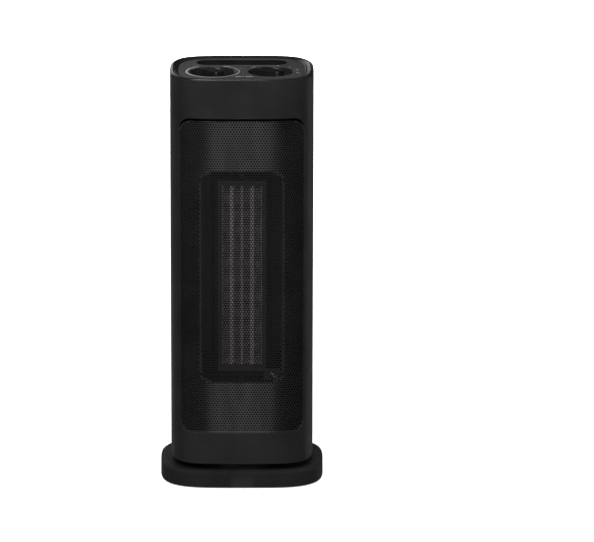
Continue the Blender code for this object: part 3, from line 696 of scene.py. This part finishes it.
def make_coil_wrap():
    """Varnished insulating tape in overlapping turns, browned by heat."""
    finish = Finish("coil_wrap")
    turns = finish.bands("X", 40, 0.6)
    return finish.cover(turns, (0.09, 0.06, 0.02), (0.17, 0.12, 0.05), (0.4, 0.55), 0.1, (0.2, 0.8))


def make_lens():
    finish = Finish("red_lens")
    finish.fix("Subsurface Weight", 0.3)
    return finish.cover(finish.noise(700), (0.05, 0.018, 0.02), (0.08, 0.024, 0.028), (0.16, 0.26), 0.01)


def make_print():
    """Pad-printed ink with a slight speckle."""
    finish = Finish("print_ink")
    return finish.cover(finish.noise(2500, 2), grey(0.2), (0.34, 0.34, 0.33), (0.5, 0.7), 0.01)


def make_filter():
    """A woven dust filter: two crossed sets of threads."""
    finish = Finish("filter_mesh")
    crossed = finish.nodes.new("ShaderNodeMath")
    crossed.operation = "MAXIMUM"
    for direction, socket in zip("XZ", crossed.inputs):
        finish.link(finish.bands(direction, 260), socket)
    return finish.cover(crossed.outputs["Value"], grey(0.004), (0.05, 0.05, 0.052), (0.9, 0.6), 0.2)


# Colour, roughness, specular level, and the grain's size and depth in millimetres
MOULDED = {
    "black_housing": (grey(0.0088), 0.42, 0.12, 0.35, 0.004),
    "base_black": (grey(0.0088), 0.45, 0.04, 0.35, 0.004),
    "gloss_rim": (grey(0.008), 0.2, 0.5, 0.8, 0.001),
    "grille_black": (grey(0.0088), 0.24, 0.5, 0.5, 0.0006),
    # Painted shade in the grille's dimples, near black
    "dimple_shade": (grey(0.0012), 0.3, 0.12, 0.5, 0.0006),
    "screen_black": (grey(0.0055), 0.5, 0.22, 0.5, 0.001),
    "bead_black": (grey(0.0055), 0.45, 0.1, 0.5, 0.001),
    "inner_plastic": (grey(0.0016), 0.6, 0.03, 0.6, 0.01),
    "knob_black": (grey(0.0042), 0.36, 0.3, 0.5, 0.002),
    "rubber": (grey(0.02), 0.8, 0.3, 0.5, 0.02),
    "heat_resin": (grey(0.03), 0.6, 0.1, 0.6, 0.012),
    "white_acetal": ((0.72, 0.72, 0.7), 0.42, 0.5, 1.2, 0.004, 1.1),
}
# Colour, roughness, how the lines are stretched, and how metallic it is
METALS = {
    "zinc_steel": ((0.55, 0.55, 0.54), 0.38, (1.0, 1.0, 0.08), 1.0),
    "aluminium": ((0.5, 0.44, 0.445), 0.42, (1.0, 0.1, 1.0), 0.3),
    "dulled_fuse": ((0.3, 0.3, 0.29), 0.45, (1.0, 1.0, 0.2), 0.5),
}
LOOKS = {name: moulded(name, *values) for name, values in MOULDED.items()}
LOOKS |= {name: metal(name, *values) for name, values in METALS.items()}
LOOKS |= {
    # The panel's second grey is painted shade in its bowls and slot.
    "panel_grey": panel_finish(grey(0.024), grey(0.006), 0.5, 0.3, 0.3),
    # The fins' second colour is painted shade between them.
    "fin_aluminium": fin_finish((0.95, 0.85, 0.86), (0.006, 0.005, 0.005), 0.45),
    "pale_ceramic": make_ceramic(),
    "coil_wrap": make_coil_wrap(),
    "red_lens": make_lens(),
    "print_ink": make_print(),
    "filter_mesh": make_filter(),
}


def add(name, mesh, slot, body="tower", nodes=(), look=None):
    """Puts a finished mesh in the scene on its body, in place of the CAD nodes it stands for."""
    item = bpy.data.objects.new(name, mesh)
    bpy.context.scene.collection.objects.link(item)
    if not mesh.materials:
        mesh.materials.append(LOOKS[look or slot].material)
    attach(item, body)
    if nodes:
        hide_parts(*nodes)
    return item


def weigh_normals(item):
    """Lets big flat faces keep their shading beside small rounded ones."""
    weighted = item.modifiers.new("weighted", "WEIGHTED_NORMAL")
    weighted.keep_sharp = True
    weighted.weight = 100
    return item


# ---------------------------------------------------------------- housing

FRONT_LOW, FRONT_HIGH = box_of("front_shell")
REAR_LOW, REAR_HIGH = box_of("rear_shell")
SCREWS = range(1, 5)
TOWER_HALF = (FRONT_HIGH.x, -FRONT_LOW.y)
FRONT_PLAN = Plan(*TOWER_HALF, TOWER_POWERS)
REAR_PLAN = Plan(*TOWER_HALF, TOWER_POWERS, facing=1)


def window_of(node, radius, gap):
    """The rounded window that a CAD panel fills, gap away from its outline."""
    low, high = box_of(node)
    return (high.x + gap, low.z - gap, high.z + gap, radius)


def shrunk(window, margin):
    """A window with its edge moved in by margin."""
    half_x, low, high, radius = window
    return (half_x - margin, low + margin, high - margin, radius - margin)


FRONT_WINDOW = window_of("grille_panel", WINDOW_RADIUS, GAP)
REAR_WINDOW = window_of("rear_grille", WINDOW_RADIUS, GAP)


def make_front_shell():
    side = FRONT_PLAN.s_of_y(FRONT_HIGH.y)
    wall = framed_wall(FRONT_PLAN, FRONT_WINDOW, side, FRONT_LOW.z, FRONT_HIGH.z)
    add("front_housing", wall, "black_housing", nodes=["front_shell"])


def make_rear_shell():
    side = REAR_PLAN.s_of_y(REAR_LOW.y)
    wall = framed_wall(REAR_PLAN, REAR_WINDOW, side, REAR_LOW.z, REAR_HIGH.z)
    well = [(4.0, 50.0), (4.0, 67.6), (4.6, 68.2), (6.0, 80.0)]
    cuts = []
    for number in SCREWS:
        middle = middle_of(f"shell_screw_{number}")
        cuts.append(("DIFFERENCE", turned_along_y(well, middle.x, middle.z, 40)))
    add("rear_housing", carve(wall, *cuts), "black_housing", nodes=["rear_shell"])


def make_screw(number):
    """A pan-head screw with a cross recess."""
    low, high = box_of(f"shell_screw_{number}")
    middle, top = (low + high) / 2, high.y
    x, z = middle.x, middle.z
    head = [(1.8, low.y), (1.8, top - 2.0), (3.5, top - 1.9), (3.6, top - 1.2), (3.1, top - 0.5)]
    head += [(2.0, top - 0.12), (0.6, top)]
    cuts = []
    for half_x, half_z in ((1.9, 0.4), (0.4, 1.9)):
        arm = rounded_box((x - half_x, top - 1.1, z - half_z), (x + half_x, top + 2, z + half_z), 0.1)
        cuts.append(("DIFFERENCE", arm))
    screw = carve(turned_along_y(head, x, z, 32), *cuts)
    add(f"shell_screw_{number}_head", screw, "zinc_steel", nodes=[f"shell_screw_{number}"])


# In from the tower's sides and from its front, and down from the crest
RIM_SHOULDER = [
    (0.9, 0.9, 1.6),
    (1.3, 1.05, 1.15),
    (2.1, 1.4, 0.65),
    (2.9, 1.8, 0.25),
    (3.6, 2.4, 0),
    (4.3, 3.1, 0.14),
    (5.0, 3.8, 0.5),
    (6.2, 4.7, 1.1),
    (8.2, 6.2, 2.1),
]


def make_top_rim():
    """A rounded shoulder, a narrow crest and a sloped inner wall down to the panel."""
    low, high = box_of("top_rim")
    crest, panel = high.z, PANEL_Z
    half_x, half_y = TOWER_HALF
    edge = (PANEL_HIGH.x + GAP, PANEL_HIGH.y + GAP)
    shoulder = [(half_x - x, half_y - y, crest - down) for x, y, down in RIM_SHOULDER]
    shoulder.append((edge[0] + 0.4, edge[1] + 0.3, panel + 0.06))
    loops = [Plan(x, y, TOWER_POWERS).ring(z) for x, y, z in smooth_line(shoulder, 4)]
    loops += [Plan(*edge, TOWER_POWERS).ring(z) for z in (panel - 0.3, panel - 5)]
    loops += [FRONT_PLAN.ring(z, 5.2) for z in (panel - 7, low.z)]
    loops += [FRONT_PLAN.ring(z, WALL + GAP) for z in (low.z, crest - 2.4)]
    loops.append(FRONT_PLAN.ring(crest - 1.7, 1.6))
    add("top_rim_gloss", loft(loops, hoop=True), "gloss_rim", nodes=["top_rim"])


# ---------------------------------------------------------------- grilles


def make_front_grille():
    """A sheet of blind dimples round a window of through holes, with a bead over their joint."""
    side, below, above = SCREEN_MARGIN
    bracket_low, bracket_high = box_of("heater_bracket")
    half_x, bottom, top, radius = shrunk(FRONT_WINDOW, GAP)
    outer = (half_x, bottom, top - SHADOW_GAP, radius)
    pattern = Pattern(outer[2] - DIMPLE_RADIUS - RIM_OF_HOLE - 0.01)
    low = pattern.between_rows(ELEMENT_LOW.z - FRAME_DROP - below)
    high = pattern.between_rows(bracket_high.z + above)
    screen = (side - bracket_low.x, low, high, SCREEN_RADIUS)
    # The dimples take a near-black look of painted shade.
    dimpled = (DIMPLE_RADIUS, 6, SHEET_BACK, ["grille_black", "dimple_shade"], DIMPLE_FLOOR)
    surround = perforated_sheet(FRONT_PLAN, pattern, outer, shrunk(screen, -SEAM), *dimpled)
    add("grille_surround", surround, "grille_black", nodes=["grille_panel"])
    pierced = (HOLE_RADIUS, 12, SCREEN_BACK, ["screen_black"])
    add("grille_screen", perforated_sheet(FRONT_PLAN, pattern, screen, None, *pierced), "grille_black")
    bead = []
    for i in range(8):
        a = math.tau * i / 8
        s, z = outline_on(FRONT_PLAN, screen, BEAD_HALF * math.cos(a))
        bead.append(FRONT_PLAN.at(s, z, SHEET_INSET - BEAD_HEIGHT * math.sin(a)))
    add("grille_bead", loft(bead, hoop=True), "grille_black", look="bead_black")


def make_rear_frame(outer, opening):
    """From the back, over the frame's face, to the back of its inner edge."""
    edge = quarter_round(EDGE)
    stations = [(outer, -grow, REAR_INSET + drop) for drop, grow in edge]
    stations += [(outer, 0.0, REAR_BACK), (opening, 0.0, REAR_BACK)]
    stations += [(opening, grow, REAR_INSET + drop) for drop, grow in reversed(edge)]
    loops = [REAR_PLAN.at(*outline_on(REAR_PLAN, window, grow), depth) for window, grow, depth in stations]
    return loft(loops, hoop=True)


def make_slat(opening, z, steps=28):
    """A slanted slat, shorter where the opening's corners turn."""
    half_x, low, high, radius = opening
    into_corner = max(low + radius - z, z - (high - radius), 0.0)
    shorter = radius - math.sqrt(max(radius**2 - into_corner**2, 0.0))
    reach = REAR_PLAN.s_of_x(half_x) + 0.6 - shorter
    front, half = REAR_INSET + 0.2, SLAT_THICK / 2
    section = [(front, -half), (front, half), (REAR_BACK, half + SLAT_LEAN), (REAR_BACK, -half + SLAT_LEAN)]
    loops = []
    for distance in np.linspace(-reach, reach, steps):
        loops.append([REAR_PLAN.at(distance, z + rise, depth)[0] for depth, rise in section])
    return loft(loops)


def make_rib(opening, x):
    """An upright rib behind the slats."""
    half_x, low, high, radius = opening
    s = REAR_PLAN.s_of_x(x)
    section = [(-1.0, -0.2), (1.0, -0.2), (0.8, 0.5), (-0.8, 0.5)]
    ends = []
    for z in (low - 1, high + 1):
        ends.append([REAR_PLAN.at(s + across, z, REAR_BACK + depth)[0] for across, depth in section])
    return loft(ends)


def make_rear_grille():
    """A frame with slanted slats and three upright ribs, all following the tower's plan."""
    outer = shrunk(REAR_WINDOW, GAP)
    half_x, low, high, radius = shrunk(outer, REAR_FRAME)
    opening = (half_x, low, high, WINDOW_RADIUS - REAR_FRAME)
    count = int((high - low) / SLAT_PITCH)
    start = (low + high - (count - 1) * SLAT_PITCH) / 2
    bodies = [make_rear_frame(outer, opening)]
    bodies += [make_slat(opening, start + i * SLAT_PITCH) for i in range(count)]
    bodies += [make_rib(opening, x) for x in (-half_x / 2, 0.0, half_x / 2)]
    add("rear_louvres", join(bodies), "grille_black", nodes=["rear_grille"])


# ---------------------------------------------------------------- heating element


def make_fins(number):
    """One corrugated strip: level fins joined by tight bends in turn at its left and right."""
    low, high = box_of(f"fin_stack_{number}")
    count = int((high.z - low.z - FIN_SHEET) / FIN_PITCH)
    bend = FIN_PITCH / 2
    path = []
    for i in range(count + 1):
        z = low.z + FIN_SHEET / 2 + i * FIN_PITCH
        ends = [(low.x + bend, z), (high.x - bend, z)]
        path += ends if i % 2 == 0 else ends[::-1]
        if i < count:
            side = high.x - FIN_SHEET if i % 2 == 0 else low.x + FIN_SHEET
            path.append((side, z + bend))
    line = np.array(path)
    along = np.gradient(line, axis=0)
    along /= np.linalg.norm(along, axis=1, keepdims=True)
    across = np.column_stack([-along[:, 1], along[:, 0]]) * FIN_SHEET / 2
    loops = []
    for (x0, z0), (x1, z1) in zip(line + across, line - across):
        loops.append([(x0, low.y, z0), (x1, low.y, z1), (x1, high.y, z1), (x0, high.y, z0)])
    mesh = loft(loops, sharp_degrees=60)
    add(f"fins_{number}", mesh, "aluminium", nodes=[f"fin_stack_{number}"], look="fin_aluminium")


def make_element():
    for number in range(1, 5):
        make_fins(number)
    for side in ("left", "right"):
        low, high = box_of(f"ceramic_bar_{side}")
        plate, sink = 1.0, 0.7
        section = [
            (low.x, low.y),
            (low.x + plate, low.y),
            (low.x + plate, low.y + sink),
            (high.x - plate, low.y + sink),
            (high.x - plate, low.y),
            (high.x, low.y),
            (high.x, high.y),
            (low.x, high.y),
        ]
        bar = extruded(section, low.z, high.z)
        add(f"heating_bar_{side}", bar, "aluminium", nodes=[f"ceramic_bar_{side}"])
        low, high = box_of(f"edge_rail_{side}")
        add(f"side_rail_{side}", rounded_box(low, high, 0.2), "aluminium", nodes=[f"edge_rail_{side}"])
    low, high = box_of("centre_strip")
    add("middle_strip", rounded_box(low, high, 0.3), "aluminium", nodes=["centre_strip"])


# ---------------------------------------------------------------- controls

KNOBS = {j["child"]: Vector(j["pos_m"]) / MM for j in frame["joints"] if j["child"].endswith("_dial")}


def bowl_profile(grow, lip):
    """(radius, z) down a bowl's wall; a lip rounds it over into the panel."""
    floor = PANEL_Z - BOWL_DEPTH
    line = [(9.0, floor), (15.0, floor + 0.5), (20.5, floor + 2.1), (25.4, floor + 5.6)]
    line.append((BOWL_RADIUS - 0.5, PANEL_Z - 1))
    profile = [(r + grow, z - grow) for r, z in smooth_line(line, 5)]
    if lip:
        profile += [(BOWL_RADIUS + inset, PANEL_Z - drop) for drop, inset in reversed(quarter_round(0.7))]
        profile.append((BOWL_RADIUS + 0.7, PANEL_Z + 4))
    return profile


def stadium(half_x, half_y, centre_y, z, steps=16):
    loop = []
    for side, start in ((1, -math.pi / 2), (-1, math.pi / 2)):
        for i in range(steps + 1):
            a = start + math.pi * i / steps
            loop.append((side * (half_x - half_y) + half_y * math.cos(a), centre_y + half_y * math.sin(a), z))
    return loop


def slot_loops(grow, floor, top, lip):
    half_x, half_y = SLOT_HALF
    stations = [(grow - 1.5, floor), (grow - 0.45, floor + 0.45), (grow, floor + 1.5), (grow, top - 1)]
    if lip:
        stations += [(inset, top - drop) for drop, inset in reversed(quarter_round(SLOT_LIP))]
        stations.append((SLOT_LIP, top + 4))
    return [stadium(half_x + g, half_y + g, SLOT_Y, z) for g, z in stations]


def drill(radius, low, high, centre):
    return ("DIFFERENCE", turned([(radius, low), (radius, high)], centre, 32))


def make_control_panel():
    plan = Plan(PANEL_HIGH.x, PANEL_HIGH.y, TOWER_POWERS)
    under, joint, floor = PANEL_Z - WALL, PANEL_Z - 0.8, PANEL_Z - BOWL_DEPTH
    rings = [(under, 0.0)] + [(PANEL_Z - drop, inset) for drop, inset in reversed(quarter_round(EDGE))]
    plate = loft([plan.ring(z, inset) for z, inset in rings])
    places = [place[:2] for place in KNOBS.values()]
    shell = bowl_profile(BOWL_WALL, False) + [(BOWL_RADIUS + 1.2, joint)]
    steps = [("UNION", turned(shell, place)) for place in places]
    steps.append(("UNION", loft(slot_loops(SLOT_WALL, PANEL_LOW.z, joint, False))))
    for place in places:
        steps.append(("DIFFERENCE", turned(bowl_profile(0, True), place)))
        steps.append(drill(SPINDLE_HOLE, floor - 4, floor + 4, place))
    steps.append(("DIFFERENCE", loft(slot_loops(0, PANEL_LOW.z + SLOT_FLOOR, PANEL_Z, True))))
    lamp, lamp_low = middle_of("pilot_lamp")[:2], box_of("pilot_lamp")[0].z
    steps.append(drill(LAMP_HOLE, under - 4, PANEL_Z + 4, lamp))
    weigh_normals(add("panel_plate", carve(plate, *steps), "panel_grey", nodes=["control_panel"]))
    dome = [(2.6, lamp_low), (2.6, under - GAP), (1.4, under - GAP), (1.4, PANEL_Z), (1.25, PANEL_Z + 0.25)]
    dome += [(0.9, PANEL_Z + 0.42), (0.3, PANEL_Z + 0.5)]
    add("lamp_dome", turned(dome, lamp, 32), "red_lens", nodes=["pilot_lamp"])


def grip_outline(half_length, half_width, z, turn, centre):
    """A bar seen from above: long sides with round corners."""
    radius = half_width * 0.62
    loop = []
    for (side_x, side_y), direction in corner_turns(8):
        middle = Vector((side_x * (half_length - radius), side_y * (half_width - radius)))
        point = turn @ (middle + radius * Vector(direction))
        loop.append((point.x + centre[0], point.y + centre[1], z))
    return loop


def make_knob(node, body, degrees):
    """A drafted bar grip with a softly rounded top on a round skirt."""
    low, high = box_of(node)
    centre, top = KNOBS[body][:2], high.z
    turn = Matrix.Rotation(math.radians(degrees), 2)
    skirt_top = top - 9.9
    skirt = [(3.3, low.z), (3.3, skirt_top - 2.8), (15.6, skirt_top - 2.0), (16.0, skirt_top - 1.7)]
    skirt += [(16.0, skirt_top - 0.5), (15.8, skirt_top - 0.15), (15.4, skirt_top)]
    stations = [
        (18.0, 9.0, skirt_top - 0.5),
        (17.4, 8.4, skirt_top + 2.5),
        (16.9, 7.9, skirt_top + 5.5),
        (16.4, 7.4, top - 1.5),
        (16.2, 7.2, top - 0.7),
        (15.9, 6.9, top - 0.2),
        (15.4, 6.4, top),
    ]
    loops = [grip_outline(a, b, z, turn, centre) for a, b, z in smooth_line(stations, 3)]
    mesh = carve(turned(skirt, centre), ("UNION", loft(loops, sharp_degrees=40)))
    weigh_normals(add(node + "_grip", mesh, "knob_black", body, [node]))


# ---------------------------------------------------------------- printed marks


def flat_print(outline):
    """A thin printed patch on the panel."""
    return loft([[(x, y, PANEL_Z + z) for x, y in outline] for z in (0.01, PRINT_HEIGHT)])


def arc_print(centre, radius, start, end, width, steps=90):
    """An arc of ink from one angle to another; width is a function of the share along it."""
    inner, outer = [], []
    for i in range(steps + 1):
        a = math.radians(start + (end - start) * i / steps)
        w = width(i / steps)
        direction = Vector((math.cos(a), math.sin(a)))
        outer.append(tuple(centre + direction * radius))
        inner.append(tuple(centre + direction * (radius - w)))
    return flat_print(outer + inner[::-1])


def bar_print(x, y, length, height):
    return flat_print([(x + a * length / 2, y + b * height / 2) for a, b in CORNER_SIDES])


def wave_print(centre, rows, length=3.6, rise=0.5, width=0.4, steps=24):
    """Rows of a wavy line, the common sign for warm air."""
    bodies = []
    for row in range(rows):
        y0 = centre.y + (row - (rows - 1) / 2) * 1.5
        line = []
        for i in range(steps + 1):
            t = i / steps
            line.append((centre.x + (t - 0.5) * length, y0 + rise * math.sin(math.tau * 1.5 * t)))
        outline = [(x, y + width / 2) for x, y in line] + [(x, y - width / 2) for x, y in reversed(line)]
        bodies.append(flat_print(outline))
    return bodies


def dial_width(share):
    """The ring swells from a thin line at its back to its full width on the left."""
    return 0.6 + 1.0 * math.exp(-((share - 0.22) / 0.2) ** 2)


def make_prints():
    left, right = KNOBS["thermostat_dial"].xy, KNOBS["selector_dial"].xy
    marks = [arc_print(left, DIAL_RADIUS, 122, 412, dial_width)]
    marks += [bar_print(*word) for word in WORDS]
    for degrees, kind in SYMBOLS:
        a = math.radians(degrees)
        place = right + SYMBOL_RADIUS * Vector((math.cos(a), math.sin(a)))
        if kind == "bar":
            marks.append(bar_print(*place, 4.5, 1.1))
        elif kind == "dot":
            marks.append(flat_print(circle(0.9, 0, place, 20)[:, :2]))
        elif kind == "square":
            marks.append(bar_print(*place, 1.8, 1.8))
        else:
            marks += wave_print(place, 2 if kind == "two waves" else 3)
    add("panel_prints", join(marks), None, look="print_ink")


# ---------------------------------------------------------------- base


def make_base_cover(gland):
    low, high = box_of("base_cover")
    plan = Plan(high.x, high.y, BASE_POWERS)
    wall_top = high.z - BEVEL_DOWN
    stations = [(inset, low.z + drop) for drop, inset in quarter_round(0.5)]
    stations += [
        (0.0, wall_top - 0.8),
        (0.12, wall_top - 0.25),
        (0.5, wall_top + 0.08),
        (BEVEL_IN - 0.9, high.z - 0.22),
        (BEVEL_IN - 0.2, high.z - 0.04),
        (BEVEL_IN + 0.9, high.z),
    ]
    loops = [plan.ring(z, inset) for inset, z in stations]
    towards = loops[-1][:, :2] / np.linalg.norm(loops[-1][:, :2], axis=1, keepdims=True)
    for z in (high.z, high.z - WALL):
        loops.append(np.column_stack([towards * POST_HOLE, np.full(len(towards), z)]))
    inner = [(BEVEL_IN + 1.5, high.z - WALL), (WALL, wall_top - WALL), (WALL, low.z)]
    loops += [plan.ring(z, inset) for inset, z in inner]
    hole = turned_along_y([(CORD_HOLE, 60), (CORD_HOLE, 100)], *gland, 40)
    mesh = carve(loft(loops, hoop=True), ("DIFFERENCE", hole))
    weigh_normals(add("base_housing", mesh, "black_housing", "base", ["base_cover"], "base_black"))


def make_base():
    """The cover, the rubber gland in its cord hole, and four rubber feet."""
    low, high = box_of("cord_gland")
    gland = middle_of("cord_gland").xz
    make_base_cover(gland)
    profile = [(7.0, low.y), (7.0, low.y + 4.2), (5.0, low.y + 4.2), (5.0, high.y - 1.6)]
    profile += [(5.6, high.y - 1.3), (5.7, high.y - 0.7), (5.2, high.y - 0.1), (4.2, high.y)]
    profile += [(3.4, high.y - 0.4), (3.4, low.y)]
    add("gland_bush", turned_along_y(profile, *gland, 48, hoop=True), "rubber", "base", ["cord_gland"])
    for i in range(1, 5):
        low, high = box_of(f"foot_{i}")
        radius = (high.x - low.x) / 2
        pad = [(radius - 2.6, 0.35), (radius - 2.2, 0.0), (radius - 0.9, 0.0), (radius - 0.3, 0.25)]
        pad += [(radius, 0.9), (radius, high.z)]
        add(f"foot_{i}_pad", turned(pad, middle_of(f"foot_{i}"), 48), "rubber", "base", [f"foot_{i}"])


# ---------------------------------------------------------------- what stays as the CAD made it


def dress_cad_nodes():
    """Every CAD node that still shows gets the finish of its own slot."""
    slots = {part["node"]: part["material_slot"] for part in frame["record"]["subparts"]}
    own_looks = {"dust_filter": "filter_mesh", "thermal_fuse": "dulled_fuse"}
    for name, item in frame["nodes"].items():
        item.data.materials.clear()
        item.data.materials.append(LOOKS[own_looks.get(name, slots[name])].material)
        shade(item.data)


# ---------------------------------------------------------------- stage


def stage_mesh(name, points, faces):
    mesh = bpy.data.meshes.new(name)
    mesh.from_pydata(points, [], faces)
    item = bpy.data.objects.new(name, mesh)
    bpy.context.scene.collection.objects.link(item)
    return item


def make_floor():
    corners = [(x * FLOOR_HALF, y * FLOOR_HALF, 0) for x, y in CORNER_SIDES]
    floor = stage_mesh("studio_floor", corners, [(0, 1, 2, 3)])
    paint = Finish("studio_floor")
    paint.fix("Base Color", (0.9, 0.9, 0.9, 1))
    paint.fix("Roughness", 0.9)
    paint.fix("Specular IOR Level", 0.0)
    paint.fix("Emission Color", (1, 1, 1, 1))
    paint.fix("Emission Strength", FLOOR_GLOW)
    floor.data.materials.append(paint.material)
    floor.visible_glossy = False
    floor.visible_diffuse = False


def make_card(name, start, end, low, high, radiance, radius=1.6, steps=24):
    """A softly glowing card, bent round the heater from one azimuth to another, that only shows as a
    reflection. A black one is a flag that holds the soft light off the heater's sides instead."""
    points, faces = [], []
    for i in range(steps + 1):
        a = math.radians(start + (end - start) * i / steps)
        points += [(radius * math.sin(a), -radius * math.cos(a), z) for z in (low, high)]
        if i:
            faces.append((2 * i - 2, 2 * i, 2 * i + 1, 2 * i - 1))
    card = stage_mesh(name, points, faces)
    made = bpy.data.materials.new(name)
    made.use_nodes = True
    nodes = made.node_tree.nodes
    glow = nodes.new("ShaderNodeEmission")
    glow.inputs["Strength"].default_value = radiance
    made.node_tree.links.new(glow.outputs["Emission"], nodes["Material Output"].inputs["Surface"])
    made.cycles.emission_sampling = "NONE"
    card.data.materials.append(made)
    card.visible_camera = False
    card.visible_glossy = radiance > 0
    card.visible_diffuse = radiance == 0
    card.visible_shadow = False


def aimed(name, data, azimuth, elevation, distance):
    """Puts a lamp or the camera in the scene, aimed at the middle of the heater."""
    item = bpy.data.objects.new(name, data)
    a, e = math.radians(azimuth), math.radians(elevation)
    back = Vector((math.sin(a) * math.cos(e), -math.cos(a) * math.cos(e), math.sin(e)))
    item.location = Vector((0, 0, AIM_HEIGHT)) + back * distance
    item.rotation_euler = (-back).to_track_quat("-Z", "Y").to_euler()
    bpy.context.scene.collection.objects.link(item)
    return item


def area_light(name, azimuth, elevation, distance, size, power, reflected):
    data = bpy.data.lights.new(name, "AREA")
    data.shape = "RECTANGLE"
    data.size, data.size_y = size
    data.energy = power
    aimed(name, data, azimuth, elevation, distance).visible_glossy = reflected


def make_lights():
    world = bpy.data.worlds.new("studio")
    bpy.context.scene.world = world
    world.use_nodes = True
    background = world.node_tree.nodes["Background"]
    background.inputs["Color"].default_value = (1, 1, 1, 1)
    background.inputs["Strength"].default_value = 1.0
    world.cycles_visibility.glossy = False
    for lamp in LAMPS:
        area_light(*lamp)
    for card in CARDS:
        make_card(*card)


def make_camera():
    data = bpy.data.cameras.new("camera")
    data.lens, data.sensor_width, data.shift_x = LENS, 36.0, SHIFT_X
    data.clip_end = 100
    bpy.context.scene.camera = aimed("camera", data, 0, CAMERA_ELEVATION, CAMERA_DISTANCE)


make_camera()
make_lights()
make_floor()
bpy.context.scene.view_settings.view_transform = "Standard"

dress_cad_nodes()
make_front_shell()
make_rear_shell()
for screw_number in SCREWS:
    make_screw(screw_number)
make_top_rim()
make_front_grille()
make_rear_grille()
make_element()
make_control_panel()
make_knob("thermostat_knob", "thermostat_dial", -52)
make_knob("selector_knob", "selector_dial", -36)
make_prints()
make_base()
